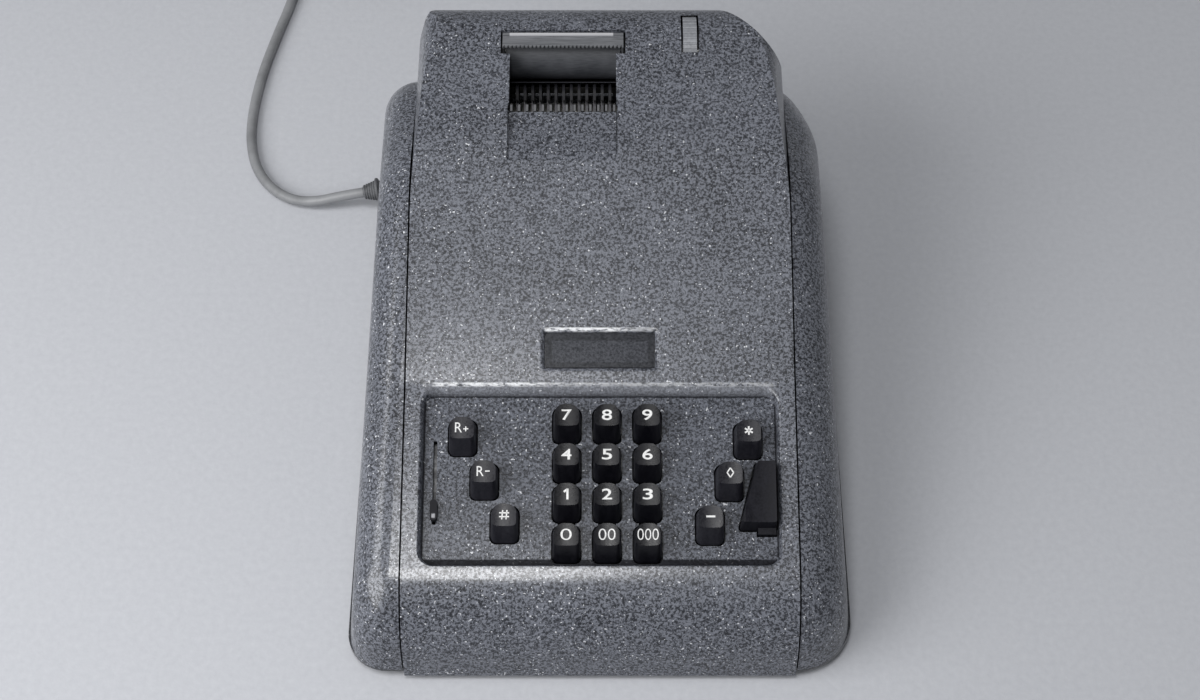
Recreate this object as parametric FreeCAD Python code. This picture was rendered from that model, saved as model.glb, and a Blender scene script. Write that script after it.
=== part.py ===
import FreeCAD, Part
import math
import os

from FreeCAD import Placement, Rotation, Vector

# Driving dimensions, in millimetres. While a piece is made, Y runs from the front edge to the rear.
BODY_DEPTH = 321.0
SEAM_HALF = 92.0
SEAM_GAP = 0.8
SHEET = 2.0
EDGE_RADIUS_LEFT = 18.0
EDGE_RADIUS_RIGHT = 26.0
PAN_BOTTOM = 4.0
PAN_FLOOR = PAN_BOTTOM + 1.5
PAN_HALF = 119.4
PAN_FRONT = 4.0
PAN_BACK = 314.0
CHEEK_BOTTOM = 7.0
FOOT_PLACES = [(-92.0, 34.0), (92.0, 34.0), (-92.0, 284.0), (92.0, 284.0)]

# Side view of the housing: apron, keyboard slope, deck, hump and back.
APRON_CORNER = (5.2, 45.1)
APRON_RADIUS = 40.0
APRON_LEAN = 0.0875
RIDGE = (116.5, 79.7)
HUMP_START = (235.0, 123.0)
HUMP_TOP = (BODY_DEPTH, 141.5)
HUMP_BACK_RADIUS = 25.0
ROOF_LEVEL = 136.2
SHOULDER_LEVEL = 114.0
CORNER_LEVEL = 104.0
CORNER_TOP = 150.0
CORNER_RADII_LOW = (14.0, 26.0)
CORNER_RADII_HIGH = (41.0, 93.0)
CHEEK_CREST = (215.0, 115.7)
CHEEK_BACK = (313.0, 96.7)
CHEEK_BACK_RADIUS = 48.0
CHEEK_SETBACK = 1.2
CHEEK_BASE_HALF = 118.5
CHEEK_LEAN = 0.10
TAPER_START = 262.0
TAPER_ROUND = 60.0
TAPER_SLOPE = 0.34
FLANGE_DEPTH = 12.0
LIP_WIDTH = 10.0

# Screws of the housing, and the paper door with its hinge.
CHEEK_SCREWS = (62.0, 252.0)
SCREW_X = 111.0
REAR_SCREW_X = 60.0
REAR_SCREW_Z = 11.0
SCREW_HEAD = 1.6
SCREW_HEAD_RADIUS = 3.5
SCREW_RADIUS = 1.7
HOLE_RADIUS = 2.1
DOOR_X = (-60.0, 22.0)
DOOR_Z = (24.0, 98.0)
DOOR_GAP = 0.5
HINGE_Y = 317.8
HINGE_Z = 27.4
HINGE_RADIUS = 1.6
HINGE_PIN = 0.8

# Keyboard: its slope, its recess and the pitch of its keys.
KEY_TILT = 17.3
RECESS_ORIGIN = Vector(0, 32.5, 53.5)
RECESS_HALF = 83.0
RECESS_LENGTH = 83.0
RECESS_DEPTH = 5.0
RECESS_CORNER = 6.0
RECESS_START = 0.6
RIM_LEVEL = 0.04
RIM_STEPS = 6
RIM_DEPTH = 5.6
RIM_REAR = 5.6
RIM_SIDE = 2.0
RIM_FRONT = 1.4
RIM_WALL = 0.8
CUT_OVERLAP = 0.01
PANEL_THICK = 1.5
COLUMN_PITCH = 18.9
COLUMN_CENTRE = 3.3
ROW_PITCH = 19.2
FIRST_ROW = 13.1
KEY_TOP = 5.5
KEY_SKIRT = -10.5
KEY_CLEARANCE = 0.55
NECK_HALF = 4.2
CAP_BASE_HALF = 6.6
CAP_TOP_HALF = 5.65
CAP_BASE_FRONT = -10.9
CAP_BASE_BACK = 6.5
CAP_TOP_FRONT = -4.8
CAP_TOP_BACK = 5.45
CAP_DISH = 0.55
CAP_DISH_RADIUS = 34.0
STEM_SETBACK = 1.6
STEM_END = -38.0
TOE_END = -41.0
GUIDE_LEVEL = -28.0
GUIDE_HALF = 84.5
SPRING_RADIUS = 3.5
BAR_BASE = [(64.6, 17.4, 1.2), (82.2, 17.4, 1.2), (82.2, 49.6, 1.2), (72.8, 49.6, 1.2)]
BAR_TOP = [(65.6, 19.4, 1.0), (81.8, 19.4, 1.0), (81.8, 48.8, 1.0), (73.8, 48.8, 1.0)]
BAR_TAB = (73.4, 81.8, 15.0, 18.4)
BAR_HEIGHT = 4.6
BAR_DISH_RADIUS = 60.0
BAR_STEMS = [(75.0, 23.0), (77.5, 42.0)]
LEVER_ACROSS = -77.5
LEVER_START = 26.5
LEVER_TRAVEL = 28.0

# Deck, its reading window and the entry carriage that points into it.
DECK_TILT = 20.07
WINDOW_HALF = 26.2
WINDOW_START = 8.0
WINDOW_END = 25.4
WINDOW_RIM = 1.4
WINDOW_EDGE = 2.2
RAILS = [(132.0, 57.0), (148.0, 57.0)]
RAIL_RADIUS = 2.5
CARRIAGE_CENTRE = 28.4
POINTER_X = 22.5

# Printing unit, left of the middle.
PRINT_CENTRE = -18.4
PAPER_HALF = 28.5
OPENING_HALF = 26.4
OPENING_FRONT = 250.0
OPENING_BACK = 282.5
RAMP_START = (222.0, 118.2)
RAMP_END = (252.0, 122.5)
GROOVE_WIDTH = 0.8
GROOVE_DEPTH = 1.4
PLATEN_Y = 293.0
PLATEN_Z = 119.5
PLATEN_RADIUS = 13.5
PLATEN_SHAFT = 3.0
WHEEL_X = 44.8
WHEEL_RADIUS = 17.5
WHEEL_HALF = 3.4
PLATE_THICK = 1.5
PLATE_X = (PRINT_CENTRE - 31.5, PRINT_CENTRE + 30.0)
PLATE_OUTLINE = [
    (273, 46, 3), (273, 88, 3), (289.2, 103.4, 1), (277, 115.2, 2),
    (282, 128, 3), (303, 128, 5), (313, 118, 5), (313, 46, 3),
]
SPINDLE_Y = 286.0
SPINDLE_Z = 54.0
SPINDLE_RADIUS = 4.0
ROLL_RADIUS = 23.5
PRESSER_RADIUS = 4.0
PRESSER_DISTANCE = PLATEN_RADIUS + PRESSER_RADIUS + 0.3
PRESSER_ANGLE = -38.0
TEAR_HALF = 30.0
TEAR_LEVEL = 135.3
TEAR_FRONT = 280.6
TEAR_BACK = 289.0
TEAR_GAPS = (1.0, 1.1, 4.0)
LIP_THICK = 1.4
LIP_HEIGHT = 2.1

# Type sectors, ribbon and accumulator, one sector and one wheel for each column of print.
COLUMNS = 13
SECTOR_PITCH = 3.9
SECTOR_Y = 250.4
SECTOR_Z = 75.5
SECTOR_RADIUS = 45.0
SECTOR_SHAFT = 4.0
HEAD_START = 17.0
HEAD_END = 48.0
STRIKE_ANGLE = 46.0
RIBBON_OUT = SECTOR_RADIUS + 1.1
SPOOL_OUT = RIBBON_OUT - 14.0
SPOOL_PLACES = {"ribbon_spool_left": -65.0, "ribbon_spool_right": 28.0}
SPOOL_PIN = 2.0
RIBBON_HALF = 6.0
ACCUMULATOR_Y = 210.0
ACCUMULATOR_Z = 70.0
ACCUMULATOR_SHAFT = 3.0

# Frames and drive.
FRAME_INNER = 83.5
FRAME_OUTER = 86.0
FRAME_OUTLINE = [
    (122, PAN_FLOOR, 0), (122, 66, 5), (150, 78, 10), (228, 106, 12),
    (306, 106, 8), (306, 20, 2), (299.5, PAN_FLOOR, 0),
]
TIES = [(134.0, 18.0), (290.0, 20.0), (178.0, 78.0)]
TIE_RADIUS = 4.0
MAIN_Y = 190.0
MAIN_Z = 40.0
MAIN_SHAFT = 5.0
CAM_PLACES = (-72.0, -52.0, -30.0, -8.0)
GEAR_TEETH = 60
PINION_TEETH = 12
MOTOR_Y = MAIN_Y + (GEAR_TEETH + PINION_TEETH) / 2
GEAR_START = 62.0
GEAR_WIDTH = 6.0
MOTOR_START = 16.0
MOTOR_END = 56.0
MOTOR_RADIUS = 24.0
MOTOR_SHAFT = 3.0
RUNNING_GAP = 0.06

# Mains lead: its gland, its route over the table and the put-away coil behind.
CORD_RADIUS = 2.75
GLAND_LENGTH = 27.0
GLAND_COLLAR = 7.0
GLAND_RADIUS = 5.0
CORD_ROUTE = [
    (-128.0, 290.0, 13.0), (-140.3, 288.9, 11.3), (-153.7, 288.5, 7.0), (-167.8, 292.0, 3.4),
    (-180.7, 301.4, 2.75), (-190.3, 316.6, 2.75), (-195.0, 337.1, 2.75), (-195.2, 362.6, 2.75),
    (-191.9, 390.9, 2.75), (-186.1, 418.8, 2.75), (-179.9, 445.1, 2.95), (-177.0, 469.5, 3.35),
    (-177.0, 492.0, 3.35),
]
RUN_SHARE = 0.45
COIL_OUTER = 44.0
COIL_PITCH = 5.95
COIL_TURNS = 7.5
CLIMB_TURNS = 0.5
STRAIGHT_END = 2 * CORD_RADIUS
TAIL_RADIUS = 28.0
TIE_THICK = 0.5
TIE_WIDTH = 4.0
PLUG_HALF = 15.0
PLUG_LENGTH = 21.0
SLEEVE_LENGTH = 16.0
PIN_LENGTH = 18.0
PIN_SPACING = 19.0
PIN_RADIUS = 2.0

FRONT_EDGE = APRON_CORNER[0] - APRON_LEAN * (APRON_CORNER[1] - PAN_BOTTOM)
ORIGIN_Y = (FRONT_EDGE + BODY_DEPTH + SCREW_HEAD) / 2
ALONG_X = Vector(1, 0, 0)
ALONG_Y = Vector(0, 1, 0)
KEYBOARD = Placement(RECESS_ORIGIN, Rotation(ALONG_X, KEY_TILT))
DECK = Placement(Vector(0, *RIDGE), Rotation(ALONG_X, DECK_TILT))
STRIKE = Placement(Vector(0, SECTOR_Y, SECTOR_Z), Rotation(ALONG_X, STRIKE_ANGLE))

os.makedirs("parts", exist_ok=True)
pieces = {}


def keep(name, shape):
    """Store a piece, moved so that the origin is under the middle of the machine."""
    moved = shape.copy()
    moved.translate(Vector(0, -ORIGIN_Y, 0))
    pieces[name] = moved


def placed(shape, placement):
    moved = shape.copy()
    moved.Placement = placement.multiply(moved.Placement)
    return moved


def box(x0, x1, y0, y1, z0, z1):
    return Part.makeBox(x1 - x0, y1 - y0, z1 - z0, Vector(x0, y0, z0))


def rod_x(x0, x1, y, z, radius):
    return Part.makeCylinder(radius, x1 - x0, Vector(x0, y, z), ALONG_X)


def rod_z(x, y, z0, z1, radius):
    return Part.makeCylinder(radius, z1 - z0, Vector(x, y, z0))


def ring_x(x0, x1, y, z, radius, bore):
    return rod_x(x0, x1, y, z, radius).cut(rod_x(x0 - 1, x1 + 1, y, z, bore))


def rounded_wire(corners, place):
    """Closed wire through (a, b, radius) corners, each rounded by its radius."""
    spans = []
    for index, (a, b, radius) in enumerate(corners):
        here = Vector(a, b, 0)
        last = corners[index - 1]
        following = corners[(index + 1) % len(corners)]
        back = (Vector(last[0], last[1], 0) - here).normalize()
        ahead = (Vector(following[0], following[1], 0) - here).normalize()
        if radius == 0:
            spans.append((here, None, here))
            continue
        half = back.getAngle(ahead) / 2
        reach = radius / math.tan(half)
        inward = (back + ahead).normalize()
        middle = here + inward * (radius / math.sin(half) - radius)
        spans.append((here + back * reach, middle, here + ahead * reach))
    edges = []
    for index, (start, middle, end) in enumerate(spans):
        previous_end = spans[index - 1][2]
        if previous_end.distanceToPoint(start) > 1e-6:
            edges.append(Part.LineSegment(place(previous_end), place(start)).toShape())
        if middle is not None:
            edges.append(Part.Arc(place(start), place(middle), place(end)).toShape())
    return Part.Wire(edges)


def side_wire(corners, x):
    return rounded_wire(corners, lambda p: Vector(x, p.x, p.y))


def plan_wire(corners, z):
    return rounded_wire(corners, lambda p: Vector(p.x, p.y, z))


def side_plate(corners, x0, x1):
    """Plate with its outline in the side view, from x0 to x1."""
    return Part.Face(side_wire(corners, x0)).extrude(Vector(x1 - x0, 0, 0))


def front_plate(corners, y0, y1):
    wire = rounded_wire(corners, lambda p: Vector(p.x, y0, p.y))
    return Part.Face(wire).extrude(Vector(0, y1 - y0, 0))


def plan_plate(corners, z0, z1):
    return Part.Face(plan_wire(corners, z0)).extrude(Vector(0, 0, z1 - z0))


def rectangle(x0, x1, y0, y1, radius):
    return [(x0, y0, radius), (x1, y0, radius), (x1, y1, radius), (x0, y1, radius)]


def polar_points(centre_y, centre_z, radius, start, end, steps):
    """Corners along an arc in the side view, from one angle to another."""
    points = []
    for step in range(steps + 1):
        angle = math.radians(start + (end - start) * step / steps)
        points.append((centre_y + radius * math.cos(angle), centre_z + radius * math.sin(angle), 0))
    return points


def pan_block(grow, z0, z1):
    """Block over the outline of the base pan, grown or drawn in."""
    left = EDGE_RADIUS_LEFT + 1
    right = EDGE_RADIUS_RIGHT + 1
    corner = PAN_HALF - TAPER_SLOPE * (PAN_BACK - TAPER_START)
    outline = [(-PAN_HALF, PAN_FRONT, left), (PAN_HALF, PAN_FRONT, right),
               (PAN_HALF, TAPER_START, TAPER_ROUND + 1),
               (corner, PAN_BACK, right), (-PAN_HALF, PAN_BACK, left)]
    wire = plan_wire(outline, z0)
    if grow:
        wire = Part.Wire(wire.makeOffset2D(grow).Edges)
    return Part.Face(wire).extrude(Vector(0, 0, z1 - z0))


# Housing: the central cover and the two cheeks beside it.

def cover_corners(floor):
    foot = APRON_CORNER[0] - APRON_LEAN * (APRON_CORNER[1] - floor)
    return [(foot, floor, 0), (*APRON_CORNER, APRON_RADIUS), (*RIDGE, 60.0),
            (*HUMP_START, 150.0), (*HUMP_TOP, HUMP_BACK_RADIUS), (BODY_DEPTH, floor, 0)]


def cheek_corners(floor):
    foot = APRON_CORNER[0] - APRON_LEAN * (APRON_CORNER[1] - floor) + CHEEK_SETBACK
    return [(foot, floor, 0), (APRON_CORNER[0] + CHEEK_SETBACK, APRON_CORNER[1], APRON_RADIUS),
            (*RIDGE, 60.0), (*CHEEK_CREST, 70.0), (*CHEEK_BACK, CHEEK_BACK_RADIUS),
            (CHEEK_BACK[0], floor, 0)]


def side_block(corners, inset, x0, x1):
    wire = side_wire(corners, x0)
    if inset:
        wire = wire.makeOffset2D(-inset)
    return Part.Face(Part.Wire(wire.Edges)).extrude(Vector(x1 - x0, 0, 0))


def cover_block(inset, floor):
    """Central housing: round roof corners, and rear corners that grow rounder towards the roof."""
    half = SEAM_HALF - inset
    roof = ROOF_LEVEL - inset
    back = BODY_DEPTH - inset
    front = [(-half, floor, 0), (-half, SHOULDER_LEVEL, 30), (6.0 - half, roof, 13),
             (half - 8.0, roof, 17), (half, SHOULDER_LEVEL, 30), (half, floor, 0)]

    def plan(radii, z):
        return plan_wire([(-half - 2, -10, 0), (half + 2, -10, 0),
                          (half, back, radii[1]), (-half, back, radii[0])], z)
    foot = Part.Face(plan(CORNER_RADII_LOW, floor - 5)).extrude(Vector(0, 0, CORNER_LEVEL + 5 - floor))
    crown = Part.makeLoft([plan(CORNER_RADII_LOW, CORNER_LEVEL), plan(CORNER_RADII_HIGH, CORNER_TOP)],
                          True, True)
    block = side_block(cover_corners(floor), inset, -100, 100)
    block = block.common(front_plate(front, -10, BODY_DEPTH + 10))
    return block.common(foot.fuse(crown))


def cheek_half(z):
    return CHEEK_BASE_HALF - CHEEK_LEAN * (z - PAN_BOTTOM)


def cheek_plan(inset, floor, tapered):
    """Outline of the right-hand side seen from above, drawn in towards its rear corner if tapered."""
    def plan(z):
        half = cheek_half(z) - inset
        corners = [(10, -20, 0), (half, -20, 0)]
        end = 340
        if tapered:
            corners.append((half, TAPER_START, TAPER_ROUND))
            half -= TAPER_SLOPE * (end - TAPER_START)
        return plan_wire(corners + [(half, end, 0), (10, end, 0)], z)
    return Part.makeLoft([plan(floor - 5), plan(160)], True, True)


def cheek_block(inset, floor, edge_radius, tapered):
    """Right-hand side of the housing, with one round running over its whole outer edge."""
    block = side_block(cheek_corners(floor), inset, 20, 140)
    block = block.common(cheek_plan(inset, floor, tapered))
    walls, others = [], []
    for face in block.Faces:
        low_u, high_u, low_v, high_v = face.ParameterRange
        outward = face.normalAt((low_u + high_u) / 2, (low_v + high_v) / 2).x
        if outward > 0.02:
            walls.append(face)
        elif outward > -0.02:
            others += face.Edges
    outer_edges = []
    for edge in (edge for wall in walls for edge in wall.Edges):
        middle = edge.valueAt((edge.FirstParameter + edge.LastParameter) / 2)
        if middle.z > floor + inset + 0.5 and any(edge.isSame(other) for other in others):
            outer_edges.append(edge)
    return block.makeFillet(edge_radius - inset, outer_edges)


def make_cheek(edge_radius, mirrored, tapered):
    """Sheet-metal side with a lip along its foot, which two screws hold to the pan."""
    room = box(SEAM_HALF + SEAM_GAP, 140, -10, BODY_DEPTH + 10, CHEEK_BOTTOM, 200)
    outer = cheek_block(0, -30, edge_radius, tapered).common(room)
    shell = outer.cut(cheek_block(SHEET, -30, edge_radius, tapered))
    lip = outer.cut(cheek_block(LIP_WIDTH, -30, edge_radius, tapered))
    lip = lip.common(box(60, 140, 0, BODY_DEPTH, CHEEK_BOTTOM, CHEEK_BOTTOM + SHEET))
    cheek = shell.fuse(lip)
    for y in CHEEK_SCREWS:
        cheek = cheek.cut(rod_z(SCREW_X, y, CHEEK_BOTTOM - 1, CHEEK_BOTTOM + 5, SCREW_RADIUS))
    cheek = cheek.removeSplitter()
    if mirrored:
        cheek = cheek.mirror(Vector(0, 0, 0), ALONG_X)
    return cheek


def cord_way(radius):
    """Hole along the line of the gland, through the left cheek and the pan."""
    start, following = (Vector(*point) for point in CORD_ROUTE[:2])
    heading = (following - start).normalize()
    return Part.makeCylinder(radius, GLAND_LENGTH + 10, start - heading * (GLAND_LENGTH + 5), heading)


def rim_outline(share):
    """Outline of the pocket, from its walls (share 0) out to where its rim meets the deck (share 1)."""
    side = RECESS_HALF + RIM_SIDE * share
    front, rear = RECESS_START - RIM_FRONT * share, RECESS_LENGTH + RIM_REAR * share
    near, far = RECESS_CORNER + RIM_SIDE * share, RECESS_CORNER + RIM_REAR * share
    return [(-side, front, near), (side, front, near), (side, rear, far), (-side, rear, far)]


def cut_recess(cover):
    """Cut the pocket for the keyboard: upright walls and a rim that is rolled over, most at the rear."""
    rings = []
    for step in range(RIM_STEPS + 1):
        angle = math.radians(90.0 * step / RIM_STEPS)
        level = RIM_LEVEL - RIM_DEPTH * (1 - math.sin(angle))
        rings.append(plan_wire(rim_outline(1 - math.cos(angle)), level))
    walls = plan_plate(rim_outline(0), -RECESS_DEPTH - 3, RIM_LEVEL - RIM_DEPTH + CUT_OVERLAP)
    above = plan_plate(rim_outline(1), RIM_LEVEL - CUT_OVERLAP, 5.0)
    for cutter in (above, walls, Part.makeLoft(rings, True, False)):
        cover = cover.cut(placed(cutter, KEYBOARD))
    return cover


def window_edge(cover):
    """Rear edge of the seat of the window, where it meets the deck."""
    for edge in cover.Edges:
        seat = DECK.inverse().multVec(edge.valueAt((edge.FirstParameter + edge.LastParameter) / 2))
        if abs(seat.z) < 0.05 and abs(seat.y - WINDOW_END) < 0.05 and abs(seat.x) < 1.0:
            return edge


def print_ramp(grow):
    """Shallow ramp that runs down to the printing opening."""
    ramp = [(*RAMP_START, 0), (RAMP_END[0], RAMP_END[1] - grow, 0),
            (RAMP_END[0], 145.0, 0), (RAMP_START[0], 145.0, 0)]
    half = OPENING_HALF + 0.6 + grow
    return side_plate(ramp, PRINT_CENTRE - half, PRINT_CENTRE + half)


def door_lugs():
    """Two ears inside the back of the cover that carry the ends of the hinge wire."""
    ears = []
    for x in (DOOR_X[0] - 1.6, DOOR_X[1] + 0.2):
        ear = box(x, x + 1.4, HINGE_Y - 2.6, BODY_DEPTH - SHEET, HINGE_Z - 2.6, HINGE_Z + 2.6)
        ears.append(ear.cut(rod_x(x - 1, x + 3, HINGE_Y, HINGE_Z, HINGE_PIN + RUNNING_GAP)))
    return ears


def make_top_cover():
    outer = cover_block(0, PAN_BOTTOM).cut(print_ramp(0))
    inner = cover_block(SHEET, -30).cut(print_ramp(SHEET))
    cover = outer.cut(inner)
    cover = cover.cut(side_block(cheek_corners(-30), FLANGE_DEPTH, -95, 95))
    cover = cover.cut(pan_block(0.3, PAN_BOTTOM - 5, CHEEK_BOTTOM))
    side = RECESS_HALF + RIM_SIDE + RIM_WALL
    rim = box(-side, side, RECESS_START - RIM_FRONT - RIM_WALL, RECESS_LENGTH + RIM_REAR + RIM_WALL,
              -RECESS_DEPTH - 2, -1.2)
    cover = cover.fuse(placed(rim, KEYBOARD).common(outer))
    cover = cut_recess(cover)
    seat = box(-WINDOW_HALF - 2, WINDOW_HALF + 2, WINDOW_START - 2, WINDOW_END + 2, -4.0, -1.0)
    rebate = plan_plate(rectangle(-WINDOW_HALF, WINDOW_HALF, WINDOW_START, WINDOW_END, 1.0), -3.0, 3.0)
    sight = box(WINDOW_RIM - WINDOW_HALF, WINDOW_HALF - WINDOW_RIM,
                WINDOW_START + WINDOW_RIM, WINDOW_END - WINDOW_RIM, -8, 0)
    cover = cover.fuse(placed(seat, DECK))
    cover = cover.cut(placed(rebate.fuse(sight), DECK))
    cover = cover.makeFillet(WINDOW_EDGE, [window_edge(cover)])
    below = box(-RECESS_HALF - 8, RECESS_HALF + 8, -8, RECESS_LENGTH + 8, -RECESS_DEPTH - 3, -RECESS_DEPTH)
    cover = cover.cut(placed(below, KEYBOARD))
    mouth = box(PRINT_CENTRE - OPENING_HALF, PRINT_CENTRE + OPENING_HALF,
                OPENING_FRONT, OPENING_BACK, 100, 150)
    beside, before, behind = TEAR_GAPS
    bar_notch = box(PRINT_CENTRE - TEAR_HALF - beside, PRINT_CENTRE + TEAR_HALF + beside,
                    TEAR_FRONT - before, TEAR_BACK + behind, 100, 150)
    wheel_slot = rod_x(WHEEL_X - 4.4, WHEEL_X + 4.4, PLATEN_Y, PLATEN_Z, WHEEL_RADIUS + 0.9)
    doorway = box(*DOOR_X, BODY_DEPTH - 5, BODY_DEPTH + 5, *DOOR_Z)
    sunk = [(*RAMP_START, 0), (RAMP_END[0] + 1, RAMP_END[1] - GROOVE_DEPTH, 0),
            (RAMP_END[0] + 1, RAMP_END[1] + 1, 0), (RAMP_START[0], RAMP_START[1] + 1, 0)]
    grooves = [side_plate(sunk, x, x + GROOVE_WIDTH)
               for x in (PRINT_CENTRE - OPENING_HALF - 0.6, PRINT_CENTRE + OPENING_HALF + 0.6 - GROOVE_WIDTH)]
    for opening in (mouth, bar_notch, wheel_slot, doorway, *grooves):
        cover = cover.cut(opening)
    for side in (-1, 1):
        start = Vector(side * REAR_SCREW_X, BODY_DEPTH - 5, REAR_SCREW_Z)
        cover = cover.cut(Part.makeCylinder(HOLE_RADIUS, 10, start, ALONG_Y))
    for ear in door_lugs():
        cover = cover.fuse(ear)
    return cover.removeSplitter()


keep("right_cheek", make_cheek(EDGE_RADIUS_RIGHT, False, True))
keep("left_cheek", make_cheek(EDGE_RADIUS_LEFT, True, False).cut(cord_way(GLAND_RADIUS)))
keep("top_cover", make_top_cover())


def make_paper_door():
    """Sheet door for the paper roll, louvred, its foot rolled round a hinge wire."""
    x0, x1 = DOOR_X[0] + DOOR_GAP, DOOR_X[1] - DOOR_GAP
    door = box(x0, x1, BODY_DEPTH - 1.8, BODY_DEPTH - 0.2, HINGE_Z - 0.6, DOOR_Z[1] - DOOR_GAP)
    middle = (x0 + x1) / 2
    for step in range(5):
        z = 42.0 + 8.0 * step
        door = door.cut(box(middle - 26, middle + 26, BODY_DEPTH - 3, BODY_DEPTH + 1, z, z + 2.2))
    door = door.fuse(box(middle - 8, middle + 8, BODY_DEPTH - 0.4, BODY_DEPTH + 1.4, 88.5, 91.0))
    door = door.fuse(rod_x(x0 + 0.5, x1 - 0.5, HINGE_Y, HINGE_Z, HINGE_RADIUS))
    door = door.fuse(rod_x(DOOR_X[0] - 2.0, DOOR_X[1] + 2.0, HINGE_Y, HINGE_Z, HINGE_PIN))
    return door.removeSplitter()


keep("paper_door", make_paper_door())


# Base: pressed pan with a rim for the cheeks, an upstand inside it and a tab under the rear wall.

def make_base_pan():
    upstand_top = PAN_BOTTOM + 12.0
    between = SEAM_HALF + 1
    pan = pan_block(0, PAN_BOTTOM, CHEEK_BOTTOM).fuse(pan_block(-12.0, PAN_BOTTOM, upstand_top))
    pan = pan.cut(pan_block(-13.5, PAN_FLOOR, upstand_top + 5))
    pan = pan.cut(box(-between, between, 0, 20, CHEEK_BOTTOM, 30))
    pan = pan.cut(box(-between, between, 290, 320, CHEEK_BOTTOM, 30))
    inner_back = BODY_DEPTH - SHEET
    tab = [(-86, 290, 0), (86, 290, 0), (86, inner_back, 22), (-86, inner_back, 12)]
    pan = pan.fuse(plan_plate(tab, PAN_BOTTOM, PAN_FLOOR))
    pan = pan.fuse(box(-66, 64, inner_back - 1.5, inner_back, PAN_BOTTOM, 16.0))
    for x, y in FOOT_PLACES:
        pan = pan.cut(rod_z(x, y, 0, 10, HOLE_RADIUS))
    for side in (-1, 1):
        for y in CHEEK_SCREWS:
            pan = pan.cut(rod_z(side * SCREW_X, y, 0, 10, HOLE_RADIUS))
        start = Vector(side * REAR_SCREW_X, inner_back - 4, REAR_SCREW_Z)
        pan = pan.cut(Part.makeCylinder(SCREW_RADIUS, 8, start, ALONG_Y))
    return pan.cut(cord_way(GLAND_RADIUS + 0.2)).removeSplitter()


def make_foot(x, y):
    foot = Part.makeCone(9.0, 10.5, PAN_BOTTOM, Vector(x, y, 0))
    foot = foot.cut(rod_z(x, y, 0, 1.6, 4.5))
    return foot.fuse(rod_z(x, y, PAN_BOTTOM - 0.5, PAN_FLOOR, HOLE_RADIUS - 0.05))


def make_screw(place, heading):
    """Pan-headed screw: place is the plane under its head, heading is the way it is driven."""
    head = Part.makeCylinder(SCREW_HEAD_RADIUS, SCREW_HEAD, place - heading * SCREW_HEAD, heading)
    slot = box(-0.5, 0.5, -5, 5, -0.9, 0.5)
    slot.Placement = Placement(place - heading * SCREW_HEAD, Rotation(Vector(0, 0, -1), heading))
    return head.cut(slot).fuse(Part.makeCylinder(SCREW_RADIUS, 5.0, place, heading))


keep("base_pan", make_base_pan())
keep("feet", Part.makeCompound([make_foot(x, y) for x, y in FOOT_PLACES]))

screws = [make_screw(Vector(side * SCREW_X, y, PAN_BOTTOM), Vector(0, 0, 1))
          for side in (-1, 1) for y in CHEEK_SCREWS]
screws += [make_screw(Vector(side * REAR_SCREW_X, BODY_DEPTH, REAR_SCREW_Z), Vector(0, -1, 0))
           for side in (-1, 1)]
keep("screws", Part.makeCompound(screws))


# Keyboard, worked out in its own sloping frame: across, up the slope, out of the panel.

def key_places():
    """Place of every key: the numerals in three columns, two leaning rows of function keys."""
    numerals = {"0": (0, 0), "00": (1, 0), "000": (2, 0)}
    for digit in range(1, 10):
        numerals[str(digit)] = ((digit - 1) % 3, 1 + (digit - 1) // 3)
    places = {}
    for label, (column, row) in numerals.items():
        across = COLUMN_CENTRE + (column - 1) * COLUMN_PITCH
        places["key_" + label] = (across, FIRST_ROW + row * ROW_PITCH)
    places["key_r_plus"] = (-64.7, 64.5)
    places["key_r_minus"] = (-54.2, 43.3)
    places["key_hash"] = (-44.4, 22.4)
    places["key_star"] = (69.6, 63.0)
    places["key_diamond"] = (60.6, 42.6)
    places["key_minus"] = (51.2, 21.6)
    return places


KEY_PLACES = key_places()
STEM_PLACES = [(across, up - STEM_SETBACK) for across, up in KEY_PLACES.values()] + BAR_STEMS


def base_outline(across, up, grow, w):
    """Outline of a cap where it passes through the panel."""
    front, back = up + CAP_BASE_FRONT - grow, up + CAP_BASE_BACK + grow
    half = CAP_BASE_HALF + grow
    corners = [(across - half, front, 3.2), (across + half, front, 3.2),
               (across + half, back, 4.4), (across - half, back, 4.4)]
    return plan_wire(corners, w)


def top_outline(across, up, w):
    """Outline of the top of a cap: nearly square in front, arched at the rear."""
    front, back = up + CAP_TOP_FRONT, up + CAP_TOP_BACK
    corners = [(across - CAP_TOP_HALF, front, 1.6), (across + CAP_TOP_HALF, front, 1.6),
               (across + CAP_TOP_HALF, back, 4.6), (across - CAP_TOP_HALF, back, 4.6)]
    return plan_wire(corners, w)


def key_stem(across, up):
    stem = box(across - 2.3, across + 2.3, up - 0.9, up + 0.9, STEM_END, KEY_SKIRT + 0.5)
    toe = box(across - 1.2, across + 1.2, up - 0.9, up + 0.9, TOE_END, STEM_END)
    return stem.fuse(toe)


def dished(cap, across, up, level, radius):
    """Cap with its top hollowed across by a shallow cylinder."""
    dish = Part.makeCylinder(radius, 60, Vector(across, up - 30, level + radius - CAP_DISH), ALONG_Y)
    return cap.cut(dish)


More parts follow.
